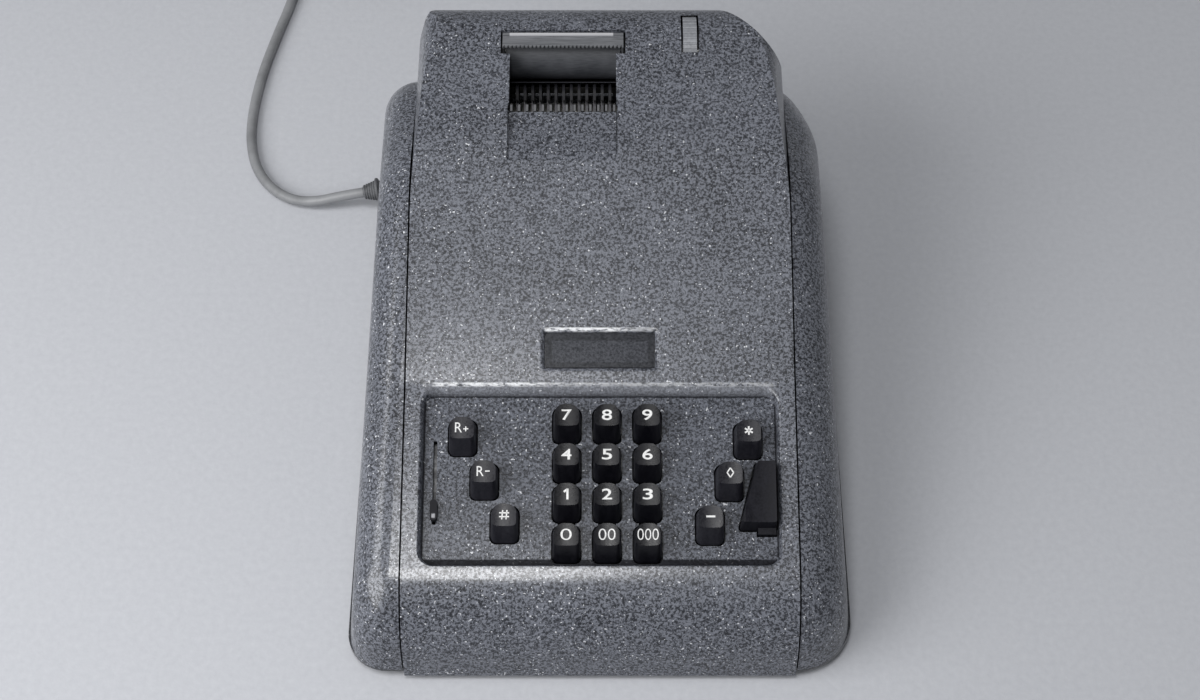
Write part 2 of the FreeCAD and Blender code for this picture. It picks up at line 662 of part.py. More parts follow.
def make_key(across, up):
    """Moulded cap with a dished top and a sloping front, on a flat steel stem."""
    skirt = Part.Face(base_outline(across, up, 0, KEY_SKIRT))
    skirt = skirt.extrude(Vector(0, 0, -RECESS_DEPTH - KEY_SKIRT))
    crown = Part.makeLoft([base_outline(across, up, 0, -RECESS_DEPTH),
                           top_outline(across, up, KEY_TOP)], True, True)
    cap = dished(skirt.fuse(crown), across, up, KEY_TOP, CAP_DISH_RADIUS)
    cap = cap.cut(box(across - 4.6, across + 4.6, up - 8.4, up + 4.4, KEY_SKIRT - 1, -3.0))
    stem_up = up - STEM_SETBACK
    boss = box(across - 3.4, across + 3.4, stem_up - 2.0, stem_up + 2.0, KEY_SKIRT, -2.5)
    return cap.fuse(boss).fuse(key_stem(across, stem_up)).removeSplitter()


def make_plus_bar():
    """Long wedge-shaped bar at the right-hand edge, with a deeper tab at its front corner."""
    skirt = plan_plate(BAR_BASE, KEY_SKIRT, -RECESS_DEPTH)
    crown = Part.makeLoft([plan_wire(BAR_BASE, -RECESS_DEPTH), plan_wire(BAR_TOP, BAR_HEIGHT)], True, True)
    tab = box(*BAR_TAB, KEY_SKIRT, -2.0)
    bar = dished(skirt.fuse(crown).fuse(tab), 75.5, 30, BAR_HEIGHT, BAR_DISH_RADIUS)
    for across, up in BAR_STEMS:
        bar = bar.fuse(key_stem(across, up))
    return bar.removeSplitter()


def make_keyboard_panel():
    outline = rectangle(-RECESS_HALF - 3, RECESS_HALF + 3, -2.0, RECESS_LENGTH + 3.0, 6.0)
    panel = plan_plate(outline, -RECESS_DEPTH - PANEL_THICK, -RECESS_DEPTH)
    for across, up in KEY_PLACES.values():
        hole = Part.Face(base_outline(across, up, KEY_CLEARANCE, -10)).extrude(Vector(0, 0, 8))
        panel = panel.cut(hole)
    bar_hole = Part.Wire(plan_wire(BAR_BASE, -10).makeOffset2D(KEY_CLEARANCE).Edges)
    panel = panel.cut(Part.Face(bar_hole).extrude(Vector(0, 0, 8)))
    x0, x1, y0, y1 = BAR_TAB
    panel = panel.cut(box(x0 - KEY_CLEARANCE, x1 + KEY_CLEARANCE, y0 - KEY_CLEARANCE, y1, -10, -2))
    for column in range(3):
        across = COLUMN_CENTRE + (column - 1) * COLUMN_PITCH
        panel = panel.cut(box(across - NECK_HALF, across + NECK_HALF, FIRST_ROW,
                              FIRST_ROW + 3 * ROW_PITCH, -10, -2))
    slot = rectangle(LEVER_ACROSS - 0.9, LEVER_ACROSS + 0.9, LEVER_START - 6.1,
                     LEVER_START + LEVER_TRAVEL + 6.4, 0.6)
    return panel.cut(plan_plate(slot, -10, -2)).removeSplitter()


def make_guide_plate():
    """Lower plate that guides the stems, hung from the panel by its two folded sides."""
    under_panel = -RECESS_DEPTH - PANEL_THICK
    plate = box(-GUIDE_HALF, GUIDE_HALF, 3.0, RECESS_LENGTH, GUIDE_LEVEL - 1.5, GUIDE_LEVEL)
    for x in (-GUIDE_HALF, GUIDE_HALF - 1.5):
        plate = plate.fuse(box(x, x + 1.5, 3.0, RECESS_LENGTH, GUIDE_LEVEL - 1.5, under_panel))
    rail = box(-GUIDE_HALF, LEVER_ACROSS + 3.6, LEVER_START - 9.0, LEVER_START + LEVER_TRAVEL + 9.0,
               -11.4, -10.2)
    plate = plate.fuse(rail)
    for across, up in STEM_PLACES:
        hole = box(across - 2.5, across + 2.5, up - 1.1, up + 1.1, GUIDE_LEVEL - 3, GUIDE_LEVEL + 1)
        plate = plate.cut(hole)
    return plate.removeSplitter()


def make_key_springs():
    """Return springs between the guide plate and the keys, each as a plain sleeve."""
    springs = []
    for across, up in STEM_PLACES:
        spring = rod_z(across, up, GUIDE_LEVEL, KEY_SKIRT, SPRING_RADIUS)
        springs.append(spring.cut(rod_z(across, up, GUIDE_LEVEL - 1, 0, SPRING_RADIUS - 0.6)))
    return Part.makeCompound(springs)


def make_function_lever():
    """Slide switch: a thin blade through the slot, a shoe under the panel and a flat finger knob."""
    blade = box(LEVER_ACROSS - 0.6, LEVER_ACROSS + 0.6, LEVER_START - 4.0, LEVER_START + 4.0, -9.6, -2.5)
    shoe = box(LEVER_ACROSS - 4.0, LEVER_ACROSS + 3.0, LEVER_START - 5.5, LEVER_START + 5.5, -9.6, -8.0)
    knob = rectangle(LEVER_ACROSS - 1.7, LEVER_ACROSS + 1.7, LEVER_START - 5.0, LEVER_START + 5.0, 1.6)
    return blade.fuse(shoe).fuse(plan_plate(knob, -4.4, -0.6)).removeSplitter()


for name, (across, up) in KEY_PLACES.items():
    keep(name, placed(make_key(across, up), KEYBOARD))
keep("plus_bar", placed(make_plus_bar(), KEYBOARD))
keep("keyboard_panel", placed(make_keyboard_panel(), KEYBOARD))
keep("key_guide_plate", placed(make_guide_plate(), KEYBOARD))
keep("key_springs", placed(make_key_springs(), KEYBOARD))
keep("function_lever", placed(make_function_lever(), KEYBOARD))


# Reading window: the lens in its seat and the dark channel behind it.

lens = rectangle(0.2 - WINDOW_HALF, WINDOW_HALF - 0.2, WINDOW_START + 0.2, WINDOW_END - 0.2, 0.9)
keep("window_lens", placed(plan_plate(lens, -3.0, -1.7), DECK))

channel_span = (WINDOW_START + 0.6, WINDOW_END + 1.4)
channel = box(-30.0, 30.0, *channel_span, -10.0, -9.0)
for x0, x1 in ((-30.0, -28.5), (28.5, 30.0)):
    channel = channel.fuse(box(x0, x1, *channel_span, -10.0, -4.0))
    channel = channel.fuse(box(min(x0, 26.5), max(x1, -26.5), *channel_span, -5.0, -4.0))
keep("indicator_channel", placed(channel.removeSplitter(), DECK))


# Frames and the rods across them.

def make_side_frame(side):
    x0, x1 = sorted((side * FRAME_INNER, side * FRAME_OUTER))
    frame = side_plate(FRAME_OUTLINE, x0, x1)
    flange = sorted((side * FRAME_INNER, side * (FRAME_INNER - 9.0)))
    for y0, y1 in ((124, 150), (274, 298)):
        frame = frame.fuse(box(*flange, y0, y1, PAN_FLOOR, PAN_FLOOR + 2.0))
    holes = [(MAIN_Y, MAIN_Z, MAIN_SHAFT + RUNNING_GAP), (SECTOR_Y, SECTOR_Z, SECTOR_SHAFT),
             (ACCUMULATOR_Y, ACCUMULATOR_Z, ACCUMULATOR_SHAFT)]
    holes += [(y, z, RAIL_RADIUS) for y, z in RAILS] + [(y, z, TIE_RADIUS) for y, z in TIES]
    for y, z, radius in holes:
        frame = frame.cut(rod_x(x0 - 1, x1 + 1, y, z, radius))
    return frame.removeSplitter()


keep("left_side_frame", make_side_frame(-1))
keep("right_side_frame", make_side_frame(1))

rods = [rod_x(-FRAME_OUTER, FRAME_OUTER, y, z, RAIL_RADIUS) for y, z in RAILS]
rods += [rod_x(-FRAME_OUTER, FRAME_OUTER, y, z, TIE_RADIUS) for y, z in TIES]
rods.append(rod_x(-FRAME_OUTER, FRAME_OUTER, SECTOR_Y, SECTOR_Z, SECTOR_SHAFT))
rods.append(rod_x(-FRAME_OUTER, FRAME_OUTER, ACCUMULATOR_Y, ACCUMULATOR_Z, ACCUMULATOR_SHAFT))
rods.append(rod_x(PLATE_X[0] - 1, PLATE_X[1] + PLATE_THICK + 1, SPINDLE_Y, SPINDLE_Z, SPINDLE_RADIUS))
keep("cross_rods", Part.makeCompound(rods))


# Entry carriage: the slotted stop block on its two rails, and the pointer that shows in the window.

def make_pin_carriage():
    block = box(CARRIAGE_CENTRE - 27, CARRIAGE_CENTRE + 27, 127.0, 153.0, 51.0, 66.0)
    for index in range(COLUMNS):
        x = CARRIAGE_CENTRE + (index - (COLUMNS - 1) / 2) * SECTOR_PITCH
        block = block.cut(box(x - 0.7, x + 0.7, 126, 154, 62.0, 67.0))
    for y, z in RAILS:
        block = block.cut(rod_x(-100, 100, y, z, RAIL_RADIUS + RUNNING_GAP))
    return block


def make_pointer():
    half = 0.9
    post = box(POINTER_X - half, POINTER_X + half, 148.5, 151.5, 66.0, 86.0)
    arrow = [(POINTER_X - half, 35.0, 0), (POINTER_X - half, 14.0, 0), (POINTER_X, 11.5, 0),
             (POINTER_X + half, 14.0, 0), (POINTER_X + half, 35.0, 0)]
    return post.fuse(placed(plan_plate(arrow, -7.2, -6.2), DECK)).removeSplitter()


keep("pin_carriage", make_pin_carriage())
keep("carriage_pointer", make_pointer())


# Type sectors, one for each column, and the accumulator wheels in front of them.

def make_sector(x):
    """Swinging plate with ten raised types on its rim, a hub and a toothless tail."""
    span = (HEAD_END - HEAD_START) / 10
    head = polar_points(SECTOR_Y, SECTOR_Z, 37.0, HEAD_END, HEAD_START, 6)
    low = SECTOR_RADIUS - 0.9
    for digit in range(10):
        angle = HEAD_START + span * (digit + 0.5)
        head += polar_points(SECTOR_Y, SECTOR_Z, low, angle - 1.5, angle - 0.9, 1)
        head += polar_points(SECTOR_Y, SECTOR_Z, SECTOR_RADIUS, angle - 0.8, angle + 0.8, 1)
        head += polar_points(SECTOR_Y, SECTOR_Z, low, angle + 0.9, angle + 1.5, 1)
    arm = [*polar_points(SECTOR_Y, SECTOR_Z, 6.0, HEAD_START - 14, HEAD_END + 14, 1),
           *polar_points(SECTOR_Y, SECTOR_Z, 38.0, HEAD_END - 9, HEAD_START + 9, 1)]
    tail = [(SECTOR_Y, SECTOR_Z, 0), *polar_points(SECTOR_Y, SECTOR_Z, 28.0, 180, 212, 6)]
    sector = rod_x(x - 1.8, x + 1.8, SECTOR_Y, SECTOR_Z, 7.0)
    for outline in (head, arm, tail):
        sector = sector.fuse(side_plate(outline, x - 0.7, x + 0.7))
    bore = rod_x(x - 3, x + 3, SECTOR_Y, SECTOR_Z, SECTOR_SHAFT + RUNNING_GAP)
    return sector.cut(bore).removeSplitter()


def gear_outline(centre_y, centre_z, teeth, module, phase):
    """Outline of a spur gear with straight-sided teeth and some play."""
    corners = []
    pitch_radius = teeth * module / 2
    root = pitch_radius - 1.2 * module
    tip = pitch_radius + 0.85 * module
    for tooth in range(teeth):
        for radius, share in ((root, -0.30), (tip, -0.13), (tip, 0.13), (root, 0.30)):
            angle = math.radians(phase + (tooth + share) * 360 / teeth)
            corners.append((centre_y + radius * math.cos(angle), centre_z + radius * math.sin(angle), 0))
    return corners


def make_accumulator_wheel(x):
    outline = gear_outline(ACCUMULATOR_Y, ACCUMULATOR_Z, 20, 0.9, 0)
    wheel = side_plate(outline, x - 0.8, x + 0.8)
    wheel = wheel.fuse(rod_x(x - 1.8, x + 1.8, ACCUMULATOR_Y, ACCUMULATOR_Z, 5.0))
    return wheel.cut(rod_x(x - 3, x + 3, ACCUMULATOR_Y, ACCUMULATOR_Z, ACCUMULATOR_SHAFT + RUNNING_GAP))


column_places = [PRINT_CENTRE + (index - (COLUMNS - 1) / 2) * SECTOR_PITCH for index in range(COLUMNS)]
keep("type_sectors", Part.makeCompound([make_sector(x) for x in column_places]))
keep("accumulator_wheels", Part.makeCompound([make_accumulator_wheel(x) for x in column_places]))


# Drive: the main shaft with its cams, its gear, and the motor on its saddle.

def make_main_shaft():
    shaft = rod_x(-FRAME_OUTER - 1.5, FRAME_OUTER + 1.5, MAIN_Y, MAIN_Z, MAIN_SHAFT)
    for index, x in enumerate(CAM_PLACES):
        turn = math.radians(90 * index)
        cam_y = MAIN_Y + 4.5 * math.cos(turn)
        cam_z = MAIN_Z + 4.5 * math.sin(turn)
        shaft = shaft.fuse(rod_x(x, x + 4.0, cam_y, cam_z, 11.0))
        shaft = shaft.fuse(rod_x(x - 3.0, x + 7.0, MAIN_Y, MAIN_Z, 7.5))
    return shaft.removeSplitter()


def drilled(shape, count, centre_y, centre_z, circle, radius, x0, x1):
    """Shape with a circle of holes through it."""
    for index in range(count):
        turn = math.radians(360 * index / count)
        hole_y = centre_y + circle * math.cos(turn)
        hole_z = centre_z + circle * math.sin(turn)
        shape = shape.cut(rod_x(x0, x1, hole_y, hole_z, radius))
    return shape


def make_main_gear():
    gear_end = GEAR_START + GEAR_WIDTH
    gear = side_plate(gear_outline(MAIN_Y, MAIN_Z, GEAR_TEETH, 1.0, 0), GEAR_START, gear_end)
    gear = drilled(gear, 5, MAIN_Y, MAIN_Z, 18.0, 5.0, GEAR_START - 1, gear_end + 1)
    gear = gear.fuse(rod_x(GEAR_START - 4, gear_end + 4, MAIN_Y, MAIN_Z, 10.0))
    return gear.cut(rod_x(0, 100, MAIN_Y, MAIN_Z, MAIN_SHAFT)).removeSplitter()


def make_motor_housing():
    housing = ring_x(MOTOR_START, MOTOR_END, MOTOR_Y, MAIN_Z, MOTOR_RADIUS, MOTOR_RADIUS - 4.0)
    for x in (MOTOR_START, MOTOR_END - 3.0):
        cap = ring_x(x, x + 3.0, MOTOR_Y, MAIN_Z, MOTOR_RADIUS, MOTOR_SHAFT + RUNNING_GAP)
        housing = housing.fuse(drilled(cap, 6, MOTOR_Y, MAIN_Z, 13.0, 3.5, x - 1, x + 4))
    return housing.removeSplitter()


def make_motor_rotor():
    """Armature, shaft, cooling fan and pinion in one."""
    gear_end = GEAR_START + GEAR_WIDTH
    rotor = rod_x(5.5, gear_end + 3, MOTOR_Y, MAIN_Z, MOTOR_SHAFT)
    rotor = rotor.fuse(rod_x(MOTOR_START + 6, MOTOR_END - 8, MOTOR_Y, MAIN_Z, 17.0))
    pinion = gear_outline(MOTOR_Y, MAIN_Z, PINION_TEETH, 1.0, 180.0 / PINION_TEETH)
    rotor = rotor.fuse(side_plate(pinion, GEAR_START, gear_end))
    fan = drilled(rod_x(8.5, 13.0, MOTOR_Y, MAIN_Z, 17.0), 10, MOTOR_Y, MAIN_Z, 12.0, 2.8, 8, 14)
    return rotor.fuse(fan).removeSplitter()


def make_motor_saddle():
    top = 30.0
    saddle = box(22.0, 50.0, MOTOR_Y - 27, MOTOR_Y + 27, PAN_FLOOR, top)
    under = box(21.0, 51.0, MOTOR_Y - 22, MOTOR_Y + 22, PAN_FLOOR + 3, top + 1)
    under = under.cut(rod_x(21.0, 51.0, MOTOR_Y, MAIN_Z, MOTOR_RADIUS + 6))
    saddle = saddle.cut(under)
    return saddle.cut(rod_x(20, 52, MOTOR_Y, MAIN_Z, MOTOR_RADIUS)).removeSplitter()


keep("main_shaft", make_main_shaft())
keep("main_gear", make_main_gear())
keep("motor_housing", make_motor_housing())
keep("motor_rotor", make_motor_rotor())
keep("motor_saddle", make_motor_saddle())


# Printing unit: plates, platen with its shaft and wheel, pressure rollers, tear bar and guide comb.

def presser_place():
    angle = math.radians(PRESSER_ANGLE)
    return PLATEN_Y + PRESSER_DISTANCE * math.cos(angle), PLATEN_Z + PRESSER_DISTANCE * math.sin(angle)


def make_platen_frame():
    """Two plates on a cross bar, with an arm and a pin for each ribbon spool."""
    unit = box(-FRAME_INNER, FRAME_INNER, 298.0, 306.0, 83.0, 88.0)
    holes = [(PLATEN_Y, PLATEN_Z, PLATEN_SHAFT + RUNNING_GAP), (*presser_place(), 1.5 + RUNNING_GAP),
             (SPINDLE_Y, SPINDLE_Z, SPINDLE_RADIUS)]
    for x in PLATE_X:
        plate = side_plate(PLATE_OUTLINE, x, x + PLATE_THICK)
        for y, z, radius in holes:
            plate = plate.cut(rod_x(x - 1, x + 3, y, z, radius))
        unit = unit.fuse(plate)
    for x in SPOOL_PLACES.values():
        left = x < PRINT_CENTRE
        x0, x1 = (x - 6.0, PLATE_X[0]) if left else (PLATE_X[1] + PLATE_THICK, x + 6.0)
        arm = box(x0, x1, SPOOL_OUT - 5, SPOOL_OUT + 12, -9.6, -8.2)
        pin = rod_z(x, SPOOL_OUT, -9.0, 8.0, SPOOL_PIN)
        unit = unit.fuse(placed(arm.fuse(pin), STRIKE))
    return unit.removeSplitter()


def make_thumbwheel():
    wheel = rod_x(WHEEL_X - WHEEL_HALF, WHEEL_X + WHEEL_HALF, PLATEN_Y, PLATEN_Z, WHEEL_RADIUS)
    wheel = drilled(wheel, 36, PLATEN_Y, PLATEN_Z, WHEEL_RADIUS + 0.35, 0.75, WHEEL_X - 5, WHEEL_X + 5)
    wheel = wheel.fuse(rod_x(WHEEL_X - WHEEL_HALF - 4, WHEEL_X, PLATEN_Y, PLATEN_Z, 6.0))
    return wheel.cut(rod_x(0, 100, PLATEN_Y, PLATEN_Z, PLATEN_SHAFT)).removeSplitter()


def make_feed_rollers():
    y, z = presser_place()
    rollers = rod_x(PLATE_X[0], PLATE_X[1] + PLATE_THICK, y, z, 1.5)
    for shift in (-20.0, -4.0, 12.0):
        x = PRINT_CENTRE + shift
        rollers = rollers.fuse(rod_x(x, x + 8, y, z, PRESSER_RADIUS))
    return rollers.removeSplitter()


def make_tear_bar():
    """Strip over the paper: toothed front edge, raised rear lip, an ear down to each plate."""
    left, right = PRINT_CENTRE - TEAR_HALF, PRINT_CENTRE + TEAR_HALF
    bar = box(left, right, TEAR_FRONT, TEAR_BACK, TEAR_LEVEL, TEAR_LEVEL + 1.0)
    teeth = 30
    pitch = (right - left) / teeth
    for index in range(teeth):
        x = left + index * pitch
        notch = [(x, TEAR_FRONT - 0.6, 0), (x + pitch, TEAR_FRONT - 0.6, 0),
                 (x + pitch / 2, TEAR_FRONT + 1.1, 0)]
        bar = bar.cut(plan_plate(notch, 130, 140))
    bar = bar.fuse(box(left, right, TEAR_BACK - LIP_THICK, TEAR_BACK, TEAR_LEVEL, TEAR_LEVEL + LIP_HEIGHT))
    for x in (left, right - 1.0):
        bar = bar.fuse(box(x, x + 1.0, 284.0, TEAR_BACK, 126.0, TEAR_LEVEL + 1.0))
    return bar.removeSplitter()


def make_type_guide():
    """Comb at the front of the opening: its teeth stand between the type sectors."""
    half = OPENING_HALF - 1
    comb = box(PRINT_CENTRE - half, PRINT_CENTRE + half, 244.5, OPENING_FRONT + 0.4, 117.6, 118.8)
    outline = [(248.0, 117.6, 0), (253.4, 119.4, 0), (254.0, 123.2, 0),
               (250.4, 122.6, 0), (249.8, 118.8, 0)]
    for index in range(COLUMNS + 1):
        x = PRINT_CENTRE + (index - COLUMNS / 2) * SECTOR_PITCH
        comb = comb.fuse(side_plate(outline, x - 0.55, x + 0.55))
    for shift in (-20, 20):
        x = PRINT_CENTRE + shift
        comb = comb.fuse(box(x - 2, x + 2, 245.0, 249.0, 118.0, 119.5))
    return comb.removeSplitter()


left_end, right_end = PRINT_CENTRE - PAPER_HALF, PRINT_CENTRE + PAPER_HALF
keep("platen_frame", make_platen_frame())
keep("platen_roller", ring_x(left_end, right_end, PLATEN_Y, PLATEN_Z, PLATEN_RADIUS, PLATEN_SHAFT))
keep("platen_shaft", rod_x(PLATE_X[0] - 2.5, WHEEL_X + WHEEL_HALF + 1.5, PLATEN_Y, PLATEN_Z, PLATEN_SHAFT))
keep("thumbwheel", make_thumbwheel())
keep("feed_rollers", make_feed_rollers())
keep("tear_bar", make_tear_bar())
keep("type_guide", make_type_guide())


# Inked ribbon between its two spools, and the paper roll behind.

def make_spool(x):
    spool = rod_z(x, SPOOL_OUT, -6.3, 6.3, 9.6)
    for z in (-7.3, 6.3):
        spool = spool.fuse(rod_z(x, SPOOL_OUT, z, z + 1.0, 12.0))
    return spool.cut(rod_z(x, SPOOL_OUT, -9.5, 9.5, SPOOL_PIN + RUNNING_GAP)).removeSplitter()


def make_ribbon():
    wound = SPOOL_OUT + 9.95
    line = [(-65.0, wound), (-49.5, RIBBON_OUT), (12.3, RIBBON_OUT), (28.0, wound)]
    thick = 0.25
    outline = [(x, y, 0) for x, y in line] + [(x, y + thick, 0) for x, y in reversed(line)]
    return plan_plate(outline, -RIBBON_HALF, RIBBON_HALF)


for name, x in SPOOL_PLACES.items():
    keep(name, placed(make_spool(x), STRIKE))
keep("ribbon", placed(make_ribbon(), STRIKE))
roll_bore = SPINDLE_RADIUS + RUNNING_GAP
keep("paper_roll", ring_x(left_end, right_end, SPINDLE_Y, SPINDLE_Z, ROLL_RADIUS, roll_bore))


# Mains lead: a tube along its route, a coil of two layers, its tie, and the plug.

def arc_from(start, heading, end):
    """Arc that leaves start along heading and ends at end."""
    chord = end - start
    side = chord - heading * chord.dot(heading)
    if side.Length < 1e-6:
        return Part.LineSegment(start, end).toShape()
    radius = chord.Length ** 2 / (2 * side.Length)
    centre = start + side.normalize() * radius
    outward = ((start + end) * 0.5 - centre).normalize()
    return Part.Arc(start, centre + outward * radius, end).toShape()


def biarc(start, heading, end, end_heading):
    """Two tangent arcs between two points with given headings."""
    chord = end - start
    lean = chord.dot(heading + end_heading)
    spread = 2 * (1 - heading.dot(end_heading))
    arm = (math.sqrt(lean ** 2 + spread * chord.dot(chord)) - lean) / spread
    joint = (start + end + (heading - end_heading) * arm) * 0.5
    through = ((end - end_heading * arm) - (start + heading * arm)).normalize()
    return [arc_from(start, heading, joint), arc_from(joint, through, end)]


def tube(edges, radius):
    """Solid tube along a smooth chain of lines and arcs."""
    first = edges[0]
    start = first.valueAt(first.FirstParameter)
    profile = Part.Wire(Part.makeCircle(radius, start, first.tangentAt(first.FirstParameter)))
    return Part.Wire(edges).makePipeShell([profile], True, False)


def compare_volume(name, solid, edges, radius):
    length = sum(edge.Length for edge in edges)
    share = solid.Volume / (math.pi * radius ** 2 * length)
    print(name, "length", round(length, 1), "volume over section times length", round(share, 4))


def route_edges(points):
    """Straight runs joined by arcs that are as large as their two runs allow."""
    edges = []
    last = points[0]
    radii = []
    for before, here, after in zip(points, points[1:], points[2:]):
        back, ahead = before - here, after - here
        reach = RUN_SHARE * min(back.Length, ahead.Length)
        half_turn = (math.pi - back.getAngle(ahead)) / 2
        radius = reach / math.tan(half_turn)
        start = here + back.normalize() * reach
        end = here + ahead.normalize() * reach
        inward = (back + ahead).normalize()
        middle = here + inward * (radius / math.cos(half_turn) - radius)
        edges.append(Part.LineSegment(last, start).toShape())
        edges.append(Part.Arc(start, middle, end).toShape())
        radii.append(round(radius, 1))
        last = end
    edges.append(Part.LineSegment(last, points[-1]).toShape())
    print("cord radii", radii)
    return edges


cord_points = [Vector(*point) for point in CORD_ROUTE]
coil_start = cord_points[-1]
coil_level = coil_start.z
coil_centre = coil_start + Vector(COIL_OUTER, STRAIGHT_END, 0)


def coil_point(turns):
    """Place on the coil: in towards the middle and out again, one layer higher."""
    angle = math.radians(180 - 360 * turns)
    radius = COIL_OUTER - COIL_PITCH * min(turns, COIL_TURNS - turns)
    climb = (turns - (COIL_TURNS - CLIMB_TURNS) / 2) / CLIMB_TURNS
    climb = min(max(climb, 0.0), 1.0)
    height = COIL_PITCH * climb * climb * (3 - 2 * climb)
    return coil_centre + Vector(radius * math.cos(angle), radius * math.sin(angle), height)


def coil_edges():
    """Straight end, a pair of arcs for each quarter turn, an arc away from the coil, straight end."""
    quarters = round(4 * COIL_TURNS)
    small = 0.01
    places = [coil_point(step / 4) for step in range(quarters + 1)]
    headings = [ALONG_Y]
    for step in range(1, quarters):
        headings.append((coil_point(step / 4 + small) - coil_point(step / 4 - small)).normalize())
    headings.append(ALONG_Y * -1)
    edges = [Part.LineSegment(coil_start, places[0]).toShape()]
    for step in range(quarters):
        edges += biarc(places[step], headings[step], places[step + 1], headings[step + 1])
    tail_end = places[-1] + Vector(TAIL_RADIUS, -TAIL_RADIUS, 0)
    edges.append(arc_from(places[-1], headings[-1], tail_end))
    edges.append(Part.LineSegment(tail_end, tail_end + ALONG_X * STRAIGHT_END).toShape())
    return edges


def least_gap(edges, radius, apart):
    """Least distance between the surfaces of stretches that lie further apart along the tube."""
    points, marks = [], []
    passed = 0.0
    for edge in edges:
        count = max(2, round(edge.Length / 2.0))
        for step in range(count):
            share = step / count
            place = edge.valueAt(edge.FirstParameter + share * (edge.LastParameter - edge.FirstParameter))
            points.append(place)
            marks.append(passed + share * edge.Length)
        passed += edge.Length
    least = 1e9
    for index, here in enumerate(points):
        for other in range(index + 1, len(points) - 1):
            if marks[other] - marks[index] < apart:
                continue
            start = points[other]
            if abs(start.x - here.x) > 10 or abs(start.y - here.y) > 10:
                continue
            run = points[other + 1] - start
            share = min(max((here - start).dot(run) / run.dot(run), 0.0), 1.0)
            least = min(least, (start + run * share).distanceToPoint(here))
    return least - 2 * radius


def make_gland():
    """Moulded strain relief: a flange inside, a neck through the wall, a collar and a taper outside."""
    end = cord_points[0]
    heading = (cord_points[1] - end).normalize()
    start = end - heading * GLAND_LENGTH

    def stretch(first, last, radius):
        return Part.makeCylinder(radius, last - first, start + heading * first, heading)
    outside = GLAND_LENGTH - GLAND_COLLAR
    gland = stretch(0, 1.4, 7.0).fuse(stretch(1.4, outside, GLAND_RADIUS))
    gland = gland.fuse(stretch(outside - 1.8, outside, 6.6))
    taper = Part.makeCone(5.4, 3.7, GLAND_COLLAR, start + heading * outside, heading)
    return gland.fuse(taper).removeSplitter()


def make_tie():
    """Flat strap round the eight strands of the coil where they lie side by side."""
    inner_low = coil_centre.y + COIL_OUTER - COIL_PITCH * (COIL_TURNS / 2 - 0.5) - CORD_RADIUS - 0.4
    inner_high = coil_centre.y + COIL_OUTER - COIL_PITCH / 4 + CORD_RADIUS + 0.4
    top = coil_level + COIL_PITCH + CORD_RADIUS + 0.15
    x0, x1 = coil_centre.x - TIE_WIDTH / 2, coil_centre.x + TIE_WIDTH / 2
    outer = rectangle(inner_low - TIE_THICK, inner_high + TIE_THICK, 0, top + TIE_THICK, 3.0)
    inner = rectangle(inner_low, inner_high, TIE_THICK, top, 3.0 - TIE_THICK)
    return side_plate(outer, x0, x1).cut(side_plate(inner, x0 - 1, x1 + 1))


def make_plug():
    """Two-pin plug that lies on the table beside the coil."""
    start = coil_point(COIL_TURNS) + Vector(TAIL_RADIUS + STRAIGHT_END, -TAIL_RADIUS, 0)
    back = start.x + SLEEVE_LENGTH
    front = back + PLUG_LENGTH
    sleeve = Part.makeCone(3.8, 6.4, SLEEVE_LENGTH + 1, start, ALONG_X)
    body = plan_plate(rectangle(back, front, start.y - PLUG_HALF, start.y + PLUG_HALF, 7.0), 0, 2 * start.z)
    rim = [edge for edge in body.Edges if edge.BoundBox.ZLength < 0.01]
    plug = body.makeFillet(3.0, rim).fuse(sleeve)
    for side in (-1, 1):
        place = Vector(front - 1, start.y + side * PIN_SPACING / 2, start.z)
        plug = plug.fuse(Part.makeCylinder(PIN_RADIUS, PIN_LENGTH + 1 - PIN_RADIUS, place, ALONG_X))
        tip = place + ALONG_X * (PIN_LENGTH + 1 - PIN_RADIUS)
        plug = plug.fuse(Part.makeSphere(PIN_RADIUS, tip))
    return plug.removeSplitter()


run_path = route_edges(cord_points)
cord_run = tube(run_path, CORD_RADIUS)
compare_volume("cord_run", cord_run, run_path, CORD_RADIUS)
coil_path = coil_edges()
cord_coil = tube(coil_path, CORD_RADIUS)
compare_volume("cord_coil", cord_coil, coil_path, CORD_RADIUS)
print("coil least gap to itself", round(least_gap(coil_path, CORD_RADIUS, 60.0), 3))
keep("cord_gland", make_gland())
keep("cord_run", cord_run)
keep("cord_coil", cord_coil)
keep("cord_tie", make_tie())
keep("plug", make_plug())

for name, shape in pieces.items():
    shape.exportStep("parts/" + name + ".step")
    print(name, shape.isValid(), len(shape.Solids), round(shape.Volume))
print("pieces", len(pieces), "origin at", round(ORIGIN_Y, 3))
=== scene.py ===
import bpy
import bmesh
import math
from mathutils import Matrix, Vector


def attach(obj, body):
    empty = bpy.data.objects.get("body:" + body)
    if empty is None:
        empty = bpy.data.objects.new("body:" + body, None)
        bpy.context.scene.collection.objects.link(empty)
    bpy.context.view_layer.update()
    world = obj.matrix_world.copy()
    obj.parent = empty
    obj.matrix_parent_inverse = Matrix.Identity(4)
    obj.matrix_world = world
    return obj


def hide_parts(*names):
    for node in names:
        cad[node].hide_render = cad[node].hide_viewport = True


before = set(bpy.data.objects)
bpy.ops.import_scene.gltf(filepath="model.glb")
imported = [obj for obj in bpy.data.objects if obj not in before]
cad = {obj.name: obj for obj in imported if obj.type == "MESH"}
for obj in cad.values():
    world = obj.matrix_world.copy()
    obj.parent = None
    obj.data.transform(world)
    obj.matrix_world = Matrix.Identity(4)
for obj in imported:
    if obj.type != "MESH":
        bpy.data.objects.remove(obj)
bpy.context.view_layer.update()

# Base pan: a pressed steel tray that carries everything, in dark grey stoved enamel.
# It stands on four black rubber feet, each pulled through a hole by its stalk.
# Pan-headed zinc-plated screws hold the cheeks from below and the cover from behind.


